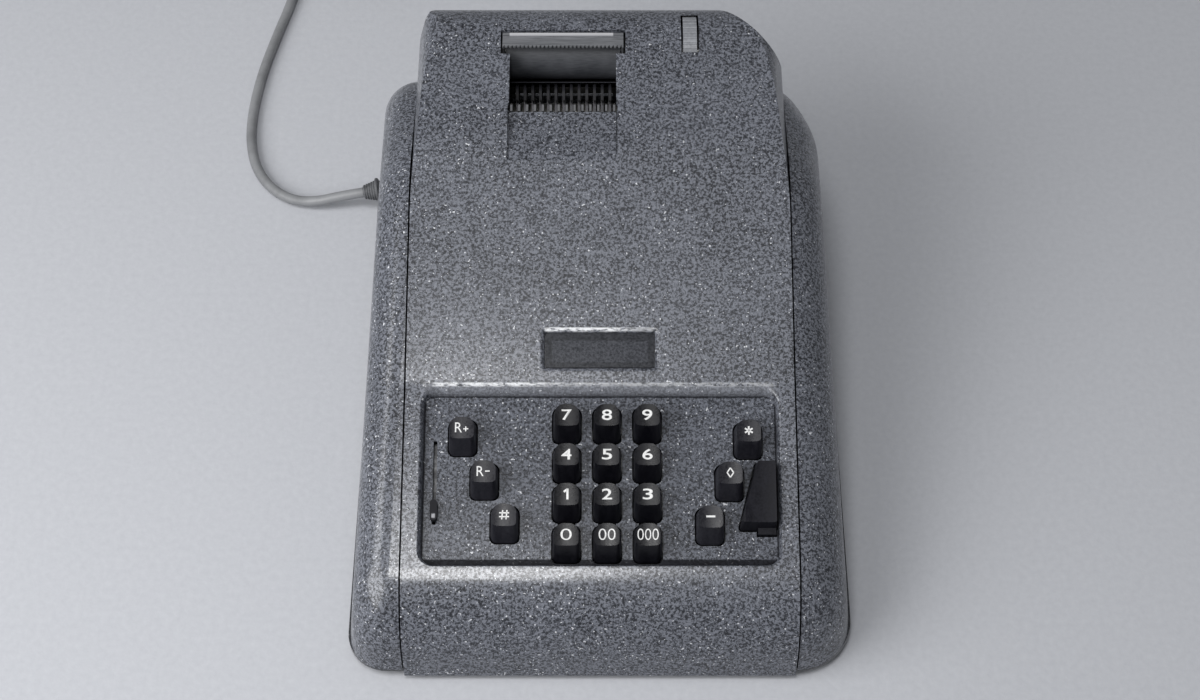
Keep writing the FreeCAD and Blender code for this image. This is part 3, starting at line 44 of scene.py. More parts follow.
class Signal:
    """An output of a node in a finish. Sums and products of signals add their own nodes."""

    def __init__(self, tree, socket):
        self.tree = tree
        self.socket = socket

    def node(self, kind, settings, inputs, output=0):
        """Add any node: its settings first, then the values or links of its sockets."""
        made = self.tree.nodes.new("ShaderNode" + kind)
        for name, value in settings.items():
            setattr(made, name, value)
        for key, value in inputs.items():
            if isinstance(value, Signal):
                self.tree.links.new(value.socket, made.inputs[key])
            else:
                made.inputs[key].default_value = value
        return Signal(self.tree, made.outputs[output]) if len(made.outputs) else None

    def sum_of(self, operation, first, second):
        return self.node("Math", {"operation": operation}, {0: first, 1: second})

    def __add__(self, other):
        return self.sum_of("ADD", self, other)

    def __radd__(self, other):
        return self.sum_of("ADD", other, self)

    def __sub__(self, other):
        return self.sum_of("SUBTRACT", self, other)

    def __rsub__(self, other):
        return self.sum_of("SUBTRACT", other, self)

    def __mul__(self, other):
        return self.sum_of("MULTIPLY", self, other)

    def __rmul__(self, other):
        return self.sum_of("MULTIPLY", other, self)

    def noise(self, scale, detail=2.0, roughness=0.5):
        """Noise over the piece, with this many features in a metre."""
        return self.node("TexNoise", {}, {"Vector": self, "Scale": scale, "Detail": detail,
                                          "Roughness": roughness})

    def between(self, low, high, start=0.0, end=1.0):
        """Smooth step from start to end while this signal goes from low to high."""
        span = {"From Min": low, "From Max": high, "To Min": start, "To Max": end}
        return self.node("MapRange", {"interpolation_type": "SMOOTHSTEP"}, {"Value": self, **span})

    def inside(self, low, high, blur):
        """1 while this signal is between low and high, with edges as soft as blur."""
        return self.between(low - blur, low + blur) * self.between(high - blur, high + blur, 1.0, 0.0)

    def size(self):
        return self.node("Math", {"operation": "ABSOLUTE"}, {0: self})

    def blend_colours(self, first, second):
        """First colour where this signal is 0, second colour where it is 1."""
        colours = [c if isinstance(c, Signal) else (*c, 1.0) for c in (first, second)]
        return self.node("Mix", {"data_type": "RGBA"}, {0: self, 6: colours[0], 7: colours[1]}, 2)

    def along(self, direction, start=(0, 0, 0)):
        """Distance of a place from start, measured along direction."""
        level = Vector(direction).dot(Vector(start))
        reach = self.node("VectorMath", {"operation": "DOT_PRODUCT"}, {0: self, 1: tuple(direction)}, 1)
        return reach - level

    def distance(self, centre):
        """Distance of a place from the axis along x through centre."""
        away = self.node("VectorMath", {"operation": "SUBTRACT"}, {0: self, 1: centre})
        return self.node("VectorMath", {"operation": "LENGTH"}, {0: away.stretched(0.0, 1.0, 1.0)}, 1)

    def stretched(self, x, y, z):
        return self.node("VectorMath", {"operation": "MULTIPLY"}, {0: self, 1: (x, y, z)})

    def relief(self, height, depth):
        """Normal of a surface with this height map, depth metres high."""
        return self.node("Bump", {}, {"Height": height, "Distance": depth, "Strength": 1.0})


def new_finish(name):
    """A material without nodes, and the place on the piece as its first signal."""
    material = bpy.data.materials.new(name)
    material.use_nodes = True
    tree = material.node_tree
    tree.nodes.clear()
    place = tree.nodes.new("ShaderNodeTexCoord")
    return material, Signal(tree, place.outputs["Object"])


def lay_on(place, **sockets):
    """Close a finish with its surface shader."""
    names = {"colour": "Base Color", "roughness": "Roughness", "metal": "Metallic", "normal": "Normal",
             "coat": "Coat Weight", "coat_roughness": "Coat Roughness", "alpha": "Alpha",
             "gloss": "Specular IOR Level"}
    values = {names[key]: value for key, value in sockets.items()}
    shader = place.node("BsdfPrincipled", {}, values)
    place.node("OutputMaterial", {}, {"Surface": shader})


def dress(finish, *nodes):
    """Give CAD nodes this finish."""
    for name in nodes:
        cad[name].data.materials.clear()
        cad[name].data.materials.append(finish)


def enamel(name, dark, light, fleck, amount, coat=1.0, gloss=0.25, marks=()):
    """Stoved enamel: fine mottled grain, and small pale flecks, more of them towards the front left.
    Each mark gives where it lies and its colour."""
    finish, place = new_finish(name)
    grain = place.noise(780, 3.0, 0.8)
    cloud = place.noise(28, 3.0, 0.5)
    tone = grain.between(0.41, 0.59) * 0.9 + cloud.between(0.3, 0.7) * 0.1
    colour = tone.blend_colours(dark, light)
    handled = place.along((-0.75, -0.66, 0.0), (0.02, 0.05, 0.0)).between(-0.10, 0.16)
    spread = (place.noise(60, 3.0, 0.6) + handled * 0.18 + amount * 0.1).between(0.52, 0.80)
    spot = (place.noise(820, 1.0, 0.4) + spread * 0.055).between(0.745, 0.785)
    colour = spot.blend_colours(colour, fleck)
    dull = 0.0
    for lies_at, shade in marks:
        mark = lies_at(place)
        colour = mark.blend_colours(colour, shade)
        dull = mark + dull
    pebble = grain * 0.7 + place.noise(420, 2.0) * 0.5 + spot * 0.2
    lay_on(place, colour=colour, roughness=grain.between(0.3, 0.7, 0.36, 0.50) + dull * 0.35,
           normal=place.relief(pebble, 0.00007), gloss=gloss,
           coat=grain.between(0.42, 0.60, 0.45 * coat, coat) * (1 - dull), coat_roughness=0.18)
    return finish


dress(enamel("pan_enamel", (0.020, 0.021, 0.024), (0.055, 0.057, 0.063), (0.18, 0.18, 0.19), 0.0), "base_pan")

foot_rubber, place = new_finish("foot_rubber")
dust = place.noise(260, 4.0, 0.7).between(0.45, 0.75)
lay_on(place, colour=dust.blend_colours((0.014, 0.014, 0.015), (0.045, 0.043, 0.040)),
       roughness=dust.between(0.0, 1.0, 0.55, 0.85), normal=place.relief(place.noise(900, 2.0), 0.00006))
dress(foot_rubber, "feet")


def steel(name, dark, light, rough, smooth, streak=(1.0, 1.0, 1.0)):
    """Steel with fine tool marks, stretched along the way in which it was worked."""
    finish, place = new_finish(name)
    marks = place.stretched(*streak).noise(1400, 3.0, 0.6)
    stain = place.noise(70, 4.0, 0.6).between(0.38, 0.68)
    colour = (marks * 0.4 + stain * 0.6).blend_colours(dark, light)
    lay_on(place, colour=colour, roughness=(marks * 0.5 + stain * 0.5).between(0.25, 0.75, rough, smooth),
           metal=1.0, normal=place.relief(marks, 0.00002))
    return finish


zinc = steel("zinc_plate", (0.38, 0.38, 0.37), (0.60, 0.60, 0.58), 0.42, 0.24)
dress(zinc, "screws")

# Side frames, cross rods and platen frame: sheet-steel plates spread by turned steel rods.
# The plates are riveted to the pan by their feet, and every shaft and rail runs between them.
# They are phosphated and oiled, so they look dark and slightly mottled.

oiled = steel("oiled_plate", (0.055, 0.056, 0.060), (0.17, 0.17, 0.175), 0.55, 0.34, (0.25, 1.0, 1.0))
turned = steel("turned_rod", (0.30, 0.30, 0.30), (0.52, 0.52, 0.51), 0.38, 0.22, (0.04, 1.0, 1.0))
dress(oiled, "left_side_frame", "right_side_frame", "platen_frame", "motor_saddle", "key_guide_plate")
dress(turned, "cross_rods", "platen_shaft")

# Drive: a universal motor in a lacquered housing turns a brass gear on the cam shaft.
# Its armature, fan and pinion are one unit on a ground shaft that runs through both end caps.

lacquer, place = new_finish("motor_lacquer")
casting = place.noise(520, 4.0, 0.7)
lay_on(place, colour=casting.between(0.3, 0.7).blend_colours((0.018, 0.020, 0.022), (0.040, 0.043, 0.047)),
       roughness=casting.between(0.3, 0.7, 0.32, 0.5), normal=place.relief(casting, 0.00018), coat=0.3)
dress(lacquer, "motor_housing")

gear_brass, place = new_finish("gear_brass")
cuts = place.noise(1500, 2.0, 0.6)
tarnish = place.noise(90, 4.0, 0.65).between(0.35, 0.7)
lay_on(place, colour=tarnish.blend_colours((0.52, 0.36, 0.14), (0.30, 0.19, 0.075)),
       roughness=(cuts + tarnish).between(0.6, 1.4, 0.22, 0.45), metal=1.0,
       normal=place.relief(cuts, 0.00002))
dress(gear_brass, "main_gear", "accumulator_wheels")
dress(turned, "main_shaft", "motor_rotor")

# Entry carriage: a milled steel block on two rails, with the blackened pointer that it carries.
# Type sectors: hardened steel quadrants, stained by ink where the raised figures strike the ribbon, and
# darkened further with painted shade for the well they sit in.

milled = steel("milled_block", (0.20, 0.20, 0.205), (0.36, 0.36, 0.365), 0.44, 0.28, (1.0, 0.08, 1.0))
dress(milled, "pin_carriage")

blackened, place = new_finish("blackened_metal")
haze = place.noise(700, 3.0, 0.6)
lay_on(place, colour=haze.blend_colours((0.006, 0.006, 0.007), (0.020, 0.020, 0.022)),
       roughness=haze.between(0.3, 0.7, 0.45, 0.65), normal=place.relief(haze, 0.00003))
dress(blackened, "carriage_pointer", "indicator_channel", "ribbon_spool_left", "ribbon_spool_right")

sector_axis = (0.0, 0.088298, 0.0755)
INK_FROM, INK_TO = 0.0425, 0.0455
# The dark tones of the sectors are partly ink and partly painted shade of the well around them.
type_steel, place = new_finish("type_steel")
ink = place.noise(800, 3.0, 0.7)
ink_and_shade = (place.distance(sector_axis) + ink * 0.004).between(INK_FROM, INK_TO)
lay_on(place, colour=ink_and_shade.blend_colours((0.042, 0.042, 0.046), (0.010, 0.010, 0.015)),
       roughness=(ink_and_shade + ink).between(0.3, 1.4, 0.42, 0.65), metal=0.6, normal=place.relief(ink, 0.00002))
dress(type_steel, "type_sectors")

# Keyboard panel: a sheet-steel plate that closes the recess from below, in a darker and duller enamel.
# Each key stem passes through it and through the lower guide plate, and a spring lifts it.

tilt = math.radians(17.3)
key_up = Vector((0.0, math.cos(tilt), math.sin(tilt)))
key_out = Vector((0.0, -math.sin(tilt), math.cos(tilt)))
board = Vector((0.0, -0.129602, 0.0535))
PANEL_FRONT, PANEL_REAR = 0.0041, 0.0826
PANEL_SIDE, WALL_SIDE = 0.0823, 0.0830


def painted_edge_shade(place):
    """Painted shade along the edges of the plate, where it meets the walls of the recess."""
    up = place.along(key_up, board) + place.noise(400, 3.0, 0.6) * 0.0006
    across = place.along((1, 0, 0)).size() + place.noise(400, 3.0, 0.6) * 0.0006
    unshaded = up.inside(PANEL_FRONT, PANEL_REAR, 0.0004) * across.between(PANEL_SIDE, WALL_SIDE, 1.0, 0.0)
    return (1 - unshaded) * 0.9


# The dark band along the panel's edges is painted shade where it meets the walls of the recess.
dress(enamel("panel_enamel", (0.010, 0.011, 0.015), (0.134, 0.143, 0.170), (0.56, 0.57, 0.60), 1.0,
             coat=0.2, gloss=0.15, marks=[(painted_edge_shade, (0.003, 0.003, 0.005))]), "keyboard_panel")
dress(zinc, "key_springs")

# Keys: compression-moulded caps with a hollow top and a sloping front, pressed on flat steel stems.
# Numerals are nearly black, function keys charcoal, and finger tops have worn smoother than sides.


def cap_finish(name, dark, light, gloss=0.3):
    """Moulded plastic: smooth on top, matt down the sides, with a steel stem below the cap."""
    finish, place = new_finish(name)
    level = place.along(key_out, board)
    scuff = place.noise(900, 4.0, 0.7)
    swirl = place.stretched(1.0, 0.3, 0.3).noise(260, 3.0, 0.6)
    finger = level.between(0.0040, 0.0052)
    stem = level.between(-0.0118, -0.0112, 1.0, 0.0)
    colour = (scuff * 0.6 + swirl * 0.4).between(0.35, 0.65).blend_colours(dark, light)
    colour = stem.blend_colours(colour, (0.32, 0.32, 0.32))
    rough = (scuff * 0.5 + swirl * 0.5).between(0.3, 0.7, 0.20, 0.40) + (1 - finger) * 0.10
    lay_on(place, colour=colour, roughness=rough, metal=stem, gloss=gloss,
           normal=place.relief(scuff + swirl * 0.5, 0.000022))
    return finish


MIDDLE_COLUMN, COLUMN_PITCH = 0.0033, 0.0189
FIRST_ROW, ROW_PITCH = 0.0131, 0.0192
numerals = {"0": (0, 0), "00": (1, 0), "000": (2, 0)}
for digit in range(1, 10):
    numerals[str(digit)] = ((digit - 1) % 3, 1 + (digit - 1) // 3)
key_places = {"key_" + label: (MIDDLE_COLUMN + (column - 1) * COLUMN_PITCH, FIRST_ROW + row * ROW_PITCH)
              for label, (column, row) in numerals.items()}
function_places = {"key_r_plus": (-0.0647, 0.0645), "key_r_minus": (-0.0542, 0.0433),
                   "key_hash": (-0.0444, 0.0224), "key_star": (0.0696, 0.0630),
                   "key_diamond": (0.0606, 0.0426), "key_minus": (0.0512, 0.0216)}
dress(cap_finish("numeral_cap", (0.0020, 0.0020, 0.0034), (0.0056, 0.0056, 0.0084)), *key_places)
dress(cap_finish("function_cap", (0.0080, 0.0080, 0.0115), (0.0190, 0.0190, 0.0245)), *function_places)
dress(cap_finish("bar_cap", (0.0065, 0.0065, 0.0090), (0.0150, 0.0150, 0.0195), 0.08), "plus_bar")

LEVER_MIDDLE = (-0.0775, 0, 0)
HIGHLIGHT_FRONT, HIGHLIGHT_REAR = 0.0226, 0.0246
# The pale spot near the lower end of the knob is a painted highlight.
lever_knob, place = new_finish("lever_knob")
scratch = place.noise(1300, 3.0, 0.7)
painted_knob_highlight = place.along(key_up, board).inside(HIGHLIGHT_FRONT, HIGHLIGHT_REAR, 0.0004) * scratch.between(0.30, 0.50)
painted_knob_highlight = painted_knob_highlight * place.along((1, 0, 0), LEVER_MIDDLE).size().between(0.0005, 0.0011, 1.0, 0.0)
colour = scratch.blend_colours((0.004, 0.004, 0.006), (0.020, 0.020, 0.024))
lay_on(place, colour=painted_knob_highlight.blend_colours(colour, (0.34, 0.34, 0.36)),
       roughness=scratch.between(0.3, 0.7, 0.40, 0.55), gloss=0.1, normal=place.relief(scratch, 0.00002))
dress(lever_knob, "function_lever")

# Legends: white plastic moulded through the cap, level with its hollow top.
# Figures are broad with an even stroke, and the function signs are plain strokes.

ivory, place = new_finish("legend_white")
wear = place.noise(1500, 3.0, 0.7)
lay_on(place, colour=wear.between(0.3, 0.75).blend_colours((0.80, 0.80, 0.79), (0.56, 0.56, 0.56)),
       roughness=wear.between(0.3, 0.7, 0.3, 0.5), normal=place.relief(wear, 0.00002))

key_places.update(function_places)
TOP_LEVEL, HOLLOW, HOLLOW_RADIUS = 0.0055, 0.00055, 0.034
SLICE, SLICES_TO_SIDE = 0.0004, 14
LEGEND_UP, LEGEND_OUT, LEGEND_THICK = 0.0002, 0.00003, 0.0002


def bar_faces(mesh, strokes, width):
    """Plain strokes as flat bars, each given by its two ends."""
    for x0, y0, x1, y1 in strokes:
        run = Vector((x1 - x0, y1 - y0)).normalized()
        side = Vector((-run.y, run.x)) * width / 2
        ends = ((x0 - side.x, y0 - side.y), (x0 + side.x, y0 + side.y),
                (x1 + side.x, y1 + side.y), (x1 - side.x, y1 - side.y))
        mesh.faces.new([mesh.verts.new((x, y, 0)) for x, y in ends])


def make_legend(key, word, width, height, strokes=(), stroke_width=0.0009, shift=0.0, bold=0.012):
    """Figures or strokes, fitted to width and height, sliced and bent into the hollow of the cap."""
    mesh = bmesh.new()
    if word:
        text = bpy.data.curves.new("figure", "FONT")
        text.body = word
        text.resolution_u = 6
        text.offset = bold
        holder = bpy.data.objects.new("figure", text)
        figure = bpy.data.meshes.new_from_object(holder)
        mesh.from_mesh(figure)
        bpy.data.objects.remove(holder)
        xs = [v.co.x for v in mesh.verts]
        ys = [v.co.y for v in mesh.verts]
        for v in mesh.verts:
            v.co.x = ((v.co.x - min(xs)) / (max(xs) - min(xs)) - 0.5) * width + shift
            v.co.y = ((v.co.y - min(ys)) / (max(ys) - min(ys)) - 0.5) * height
    bar_faces(mesh, strokes, stroke_width)
    for cut in range(-SLICES_TO_SIDE, SLICES_TO_SIDE + 1):
        whole = mesh.verts[:] + mesh.edges[:] + mesh.faces[:]
        bmesh.ops.bisect_plane(mesh, geom=whole, plane_co=(cut * SLICE, 0, 0), plane_no=(1, 0, 0))
    across, up = key_places[key]
    for v in mesh.verts:
        level = TOP_LEVEL + HOLLOW_RADIUS - HOLLOW - math.sqrt(HOLLOW_RADIUS ** 2 - v.co.x ** 2)
        sideways = Vector((across + v.co.x, 0, 0))
        v.co = board + sideways + key_up * (up + v.co.y + LEGEND_UP) + key_out * (level + LEGEND_OUT)
    bmesh.ops.recalc_face_normals(mesh, faces=mesh.faces[:])
    if sum(f.normal.dot(key_out) for f in mesh.faces) < 0:
        bmesh.ops.reverse_faces(mesh, faces=mesh.faces[:])
    data = bpy.data.meshes.new(key + "_legend")
    mesh.to_mesh(data)
    mesh.free()
    legend = bpy.data.objects.new(key + "_legend", data)
    bpy.context.collection.objects.link(legend)
    depth = legend.modifiers.new("depth", "SOLIDIFY")
    depth.thickness = LEGEND_THICK
    depth.offset = -1
    data.materials.append(ivory)
    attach(legend, key + "_body")


make_legend("key_1", "", 0, 0, [(0.0005, -0.0026, 0.0005, 0.0026), (0.0006, 0.0024, -0.0012, 0.0010)], 0.0010)
for label in "23456789":
    make_legend("key_" + label, label, 0.0048, 0.0052)
for label, width in (("0", 0.0052), ("00", 0.0078), ("000", 0.0098)):
    make_legend("key_" + label, label, width, 0.0054, bold=-0.008)
make_legend("key_r_plus", "R", 0.0033, 0.0048, [(0.0007, -0.0007, 0.0031, -0.0007),
                                                 (0.0019, -0.0019, 0.0019, 0.0005)], 0.0005, -0.0015, 0.0)
make_legend("key_r_minus", "R", 0.0033, 0.0048, [(0.0008, 0, 0.0029, 0)], 0.0006, -0.0015, 0.0)
make_legend("key_hash", "", 0, 0, [(-0.0010, -0.0022, -0.0006, 0.0022), (0.0010, -0.0022, 0.0014, 0.0022),
                                   (-0.0022, -0.0009, 0.0024, -0.0009), (-0.0022, 0.0009, 0.0024, 0.0009)],
            0.0006)
arms = [(0.0021 * math.cos(turn), 0.0021 * math.sin(turn))
        for turn in (math.radians(30), math.radians(90), math.radians(150))]
star = [(-x, -y, x, y) for x, y in arms]
make_legend("key_star", "", 0, 0, star, 0.0008)
make_legend("key_diamond", "", 0, 0, [(0, -0.0023, 0.0015, 0), (0.0015, 0, 0, 0.0023),
                                      (0, 0.0023, -0.0015, 0), (-0.0015, 0, 0, -0.0023)], 0.0006)
make_legend("key_minus", "", 0, 0, [(-0.0021, 0, 0.0021, 0)], 0.0009)

# Printing unit: a rubber-covered platen with its thumbwheel, pressure rollers and the tear bar.
# The platen is ground rubber on a steel shaft; the wheel is grey moulded plastic with cut grooves.

platen_rubber, place = new_finish("platen_rubber")
ground = place.stretched(0.15, 1.0, 1.0).noise(1600, 2.0, 0.6)
shine = place.noise(60, 3.0, 0.6)
tone = (ground * 0.5 + shine * 0.5).between(0.3, 0.7)
lay_on(place, colour=tone.blend_colours((0.026, 0.028, 0.033), (0.060, 0.063, 0.071)),
       roughness=shine.between(0.3, 0.7, 0.38, 0.56), normal=place.relief(ground, 0.00003))
dress(platen_rubber, "platen_roller", "feed_rollers")

wheel_plastic, place = new_finish("wheel_plastic")
touch = place.noise(500, 4.0, 0.7)
lay_on(place, colour=touch.between(0.3, 0.7).blend_colours((0.25, 0.26, 0.28), (0.17, 0.175, 0.19)),
       roughness=touch.between(0.3, 0.7, 0.3, 0.48), normal=place.relief(touch, 0.00003))
dress(wheel_plastic, "thumbwheel")

# The bright strip along the rear lip of the tear bar is a painted highlight.
LIP_MIDDLE = (-0.0192, 0, 0)
LIP_LEVEL, LIP_END = (0.1364, 0.1367), (0.0255, 0.0260)
plated, place = new_finish("tear_bar_plate")
brushed = place.stretched(0.05, 1.0, 1.0).noise(1500, 3.0, 0.6)
from_middle = place.along((1, 0, 0), LIP_MIDDLE).size()
painted_lip_highlight = place.along((0, 0, 1)).between(*LIP_LEVEL) * from_middle.between(*LIP_END, 1.0, 0.0)
colour = brushed.between(0.3, 0.7).blend_colours((0.13, 0.135, 0.145), (0.23, 0.235, 0.25))
lay_on(place, colour=painted_lip_highlight.blend_colours(colour, (0.62, 0.62, 0.64)), metal=0.35,
       roughness=brushed.between(0.3, 0.7, 0.45, 0.30), normal=place.relief(brushed, 0.00002))
dress(plated, "tear_bar")
dress(steel("guide_comb", (0.30, 0.30, 0.31), (0.50, 0.50, 0.51), 0.40, 0.25), "type_guide")

# Ribbon: inked cotton, woven in fine threads, drawn between two blackened spools.
# Paper: a full roll of white bond on its spindle behind the platen.

inked, place = new_finish("inked_ribbon")
weave = place.node("TexWave", {"wave_type": "BANDS", "bands_direction": "X"},
                   {"Vector": place, "Scale": 900.0, "Distortion": 0.6, "Detail": 2.0})
lay_on(place, colour=weave.blend_colours((0.004, 0.004, 0.008), (0.018, 0.018, 0.030)),
       roughness=weave.between(0.2, 0.8, 0.6, 0.85), normal=place.relief(weave, 0.00004))
dress(inked, "ribbon")

roll_axis = (0.0, 0.123898, 0.054)
paper, place = new_finish("paper_roll")
turns = place.distance(roll_axis) * 9000.0 + place.noise(40, 2.0) * 6.0
layers = place.node("Math", {"operation": "SINE"}, {0: turns}).between(-1.0, 1.0)
lay_on(place, colour=layers.blend_colours((0.50, 0.48, 0.43), (0.74, 0.72, 0.67)),
       roughness=layers.between(0.0, 1.0, 0.9, 0.78), normal=place.relief(layers, 0.00006))
dress(paper, "paper_roll")

# Housing: a drawn steel cover over the middle, a separate cheek on each side, and a louvred door
# for the paper roll at the back, all in mid blue-grey stoved enamel with a fine pebbled surface.
# Highlights are painted along two rolled edges, and painted light brightens the slope behind the keys.

deck_tilt = math.radians(20.07)
deck_up = (0.0, math.cos(deck_tilt), math.sin(deck_tilt))
deck_start = (0.0, -0.045602, 0.0797)
WINDOW_EDGE, KEYBOARD_EDGE = (0.0258, 0.0274), (0.0866, 0.0884)
SLOPE_END = 0.0868
FADE_FROM, FADE_TO = 0.0800, 0.0850


def painted_edge_highlights(place):
    """Painted highlights along the rolled edges behind the window and behind the keyboard."""
    broken = place.stretched(0.35, 1.0, 1.0).noise(620, 3.0, 0.7).between(0.38, 0.58)
    across = place.along((1, 0, 0))
    behind_window = place.along(deck_up, deck_start).inside(*WINDOW_EDGE, 0.0005)
    behind_window = behind_window * across.size().between(0.0255, 0.0270, 1.0, 0.0)
    behind_window = behind_window * across.between(0.004, 0.020, 1.0, 0.4)
    behind_keys = place.along(key_up, board).inside(*KEYBOARD_EDGE, 0.0006)
    behind_keys = behind_keys * across.size().between(FADE_FROM, FADE_TO, 1.0, 0.0)
    behind_keys = behind_keys * across.between(-0.038, -0.012, 0.85, 0.35)
    return (behind_window + behind_keys) * broken


def painted_wall_light(place):
    """Painted light on the slope behind the keys."""
    across = place.along((1, 0, 0))
    slope = place.along(key_up, board).inside(PANEL_REAR, SLOPE_END, 0.0004)
    return slope * across.size().between(FADE_FROM, FADE_TO, 0.32, 0.0)


# The pale marks on the housing are painted light: highlights on two rolled edges and light on the slope
# behind the keys.
housing_enamel = enamel("housing_enamel", (0.011, 0.012, 0.016), (0.170, 0.180, 0.211), (0.62, 0.63, 0.66),
                        0.5, marks=[(painted_wall_light, (0.30, 0.31, 0.34)), (painted_edge_highlights, (0.80, 0.81, 0.83))])
dress(housing_enamel, "top_cover", "left_cheek", "right_cheek", "paper_door")

# Reading window: a smoked clear plastic plate set in a seat in the deck.
# A dark border is painted behind its edge, wider along the top, and hides the seat.

SIDE_BORDER, FRONT_BORDER, REAR_BORDER = (0.0222, 0.0232), (0.0104, 0.0112), (0.0210, 0.0218)
lens, place = new_finish("smoked_lens")
film = place.noise(900, 4.0, 0.75)
up_deck = place.along(deck_up, deck_start)
half_across = place.along((1, 0, 0)).size()
border = half_across.between(*SIDE_BORDER) + up_deck.between(*FRONT_BORDER, 1.0, 0.0)
border = border + up_deck.between(*REAR_BORDER)
clear = film.between(0.35, 0.65).blend_colours((0.026, 0.028, 0.034), (0.076, 0.080, 0.094))
painted = film.between(0.35, 0.65).blend_colours((0.010, 0.011, 0.014), (0.034, 0.036, 0.043))
lay_on(place, colour=border.between(0.0, 1.0).blend_colours(clear, painted), gloss=0.15,
       roughness=film.between(0.3, 0.7, 0.16, 0.26), alpha=border.between(0.0, 1.0, 0.78, 1.0))
dress(lens, "window_lens")

# Mains lead: a round two-core lead in light grey rubber, out through the left cheek, over the table
# and put away behind the machine in a coil of two layers under a strap. A ribbed strain relief
# holds it at the wall, and a moulded two-pin plug closes it.

gland_end = Vector((-0.128, 0.127898, 0.013))
lead_route = [
    (-0.1280, 0.127898, 0.0130), (-0.1403, 0.126798, 0.0113), (-0.1537, 0.126398, 0.0070),
    (-0.1678, 0.129898, 0.0034), (-0.1807, 0.139298, 0.00275), (-0.1903, 0.154498, 0.00275),
    (-0.1950, 0.174998, 0.00275), (-0.1952, 0.200498, 0.00275), (-0.1919, 0.228798, 0.00275),
    (-0.1861, 0.256698, 0.00275), (-0.1799, 0.282998, 0.00295), (-0.1770, 0.307398, 0.00335),
    (-0.1770, 0.329898, 0.00335),
]
coil_centre = Vector((-0.133, 0.335398, 0.00335))
POINTS_IN_TURN, TURNS = 16, 7.5
LAY, OUTER_RADIUS, LEAD_RADIUS = 0.00595, 0.044, 0.00275
CLIMB_START, CLIMB_TURNS = 3.5, 0.5
for step in range(round(TURNS * POINTS_IN_TURN) + 1):
    turn = step / POINTS_IN_TURN
    heading = math.pi * (1 - 2 * turn)
    coil_radius = OUTER_RADIUS - LAY * min(turn, TURNS - turn)
    climb = min(max((turn - CLIMB_START) / CLIMB_TURNS, 0.0), 1.0)
    rise = LAY * climb * climb * (3 - 2 * climb)
    lead_route.append((coil_centre.x + coil_radius * math.cos(heading),
                       coil_centre.y + coil_radius * math.sin(heading), coil_centre.z + rise))
lead_route += [(-0.0890, 0.327898, 0.0093), (-0.0815, 0.314898, 0.0093), (-0.0685, 0.307398, 0.0093),
               (-0.0600, 0.307398, 0.0093), (-0.0555, 0.307398, 0.0093)]
line = bpy.data.curves.new("mains_lead", "CURVE")
line.dimensions = "3D"
spline = line.splines.new("NURBS")
spline.points.add(len(lead_route) - 1)
for point, corner in zip(spline.points, lead_route):
    point.co = (*corner, 1.0)
spline.order_u = 3
spline.use_endpoint_u = True
spline.resolution_u = 6
line.bevel_depth = LEAD_RADIUS
line.bevel_resolution = 5
line.use_fill_caps = True
lead = bpy.data.objects.new("mains_lead", line)
bpy.context.collection.objects.link(lead)

sheath, place = new_finish("lead_sheath")
smudge = place.noise(45, 4.0, 0.6).between(0.35, 0.7)
skin = place.noise(1300, 2.0, 0.5)
lay_on(place, colour=(smudge * 0.7 + skin * 0.3).blend_colours((0.26, 0.265, 0.275), (0.155, 0.158, 0.165)),
       roughness=(smudge + skin).between(0.5, 1.5, 0.42, 0.6), normal=place.relief(skin, 0.00004))
line.materials.append(sheath)
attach(lead, "housing")
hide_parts("cord_run", "cord_coil")


def turned_piece(name, start, heading, profile, sides=40):
    """Round piece on an axis: profile gives (distance along it, radius)."""
    mesh = bmesh.new()
    facing = heading.to_track_quat("Z", "Y").to_matrix()
    rings = []
    for along, radius in profile:
        ring = []
        for index in range(sides):
            angle = 2 * math.pi * index / sides
            ring.append(mesh.verts.new(start + facing @ Vector((radius * math.cos(angle),
                                                                radius * math.sin(angle), along))))
        rings.append(ring)
    for last, following in zip(rings, rings[1:]):
        for index in range(sides):
            after = (index + 1) % sides
            mesh.faces.new((last[index], last[after], following[after], following[index]))
    mesh.faces.new(list(reversed(rings[0])))
    mesh.faces.new(rings[-1])
    bmesh.ops.recalc_face_normals(mesh, faces=mesh.faces[:])
    data = bpy.data.meshes.new(name)
    mesh.to_mesh(data)
    mesh.free()
    for face in data.polygons:
        face.use_smooth = len(face.vertices) == 4
    piece = bpy.data.objects.new(name, data)
    bpy.context.collection.objects.link(piece)
    return piece


RELIEF_LENGTH, RIDGES = 0.0270, 5
out_of_wall = (Vector(lead_route[1]) - gland_end).normalized()
relief_profile = [(0.0, 0.0066), (0.0003, 0.0070), (0.0011, 0.0070), (0.0014, 0.0066), (0.0015, 0.0050),
                  (0.0181, 0.0050), (0.0182, 0.0060), (0.0186, 0.0066), (0.0197, 0.0066), (0.0200, 0.0060),
                  (0.0202, 0.0053)]
for ridge in range(RIDGES):
    foot = 0.0204 + 0.0013 * ridge
    size = 0.0054 - 0.00034 * ridge
    relief_profile += [(foot, size - 0.0007), (foot + 0.0002, size), (foot + 0.0009, size - 0.0002),
                       (foot + 0.0011, size - 0.0008)]
relief_profile.append((RELIEF_LENGTH, 0.0032))
strain_relief = turned_piece("strain_relief", gland_end - out_of_wall * RELIEF_LENGTH, out_of_wall,
                             relief_profile)

moulded, place = new_finish("moulded_rubber")
bloom = place.noise(380, 4.0, 0.65)
lay_on(place, colour=bloom.between(0.35, 0.7).blend_colours((0.070, 0.072, 0.077), (0.125, 0.128, 0.136)),
       roughness=bloom.between(0.3, 0.7, 0.45, 0.65), normal=place.relief(bloom, 0.00004))
strain_relief.data.materials.append(moulded)
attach(strain_relief, "housing")
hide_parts("cord_gland")
dress(moulded, "cord_tie")

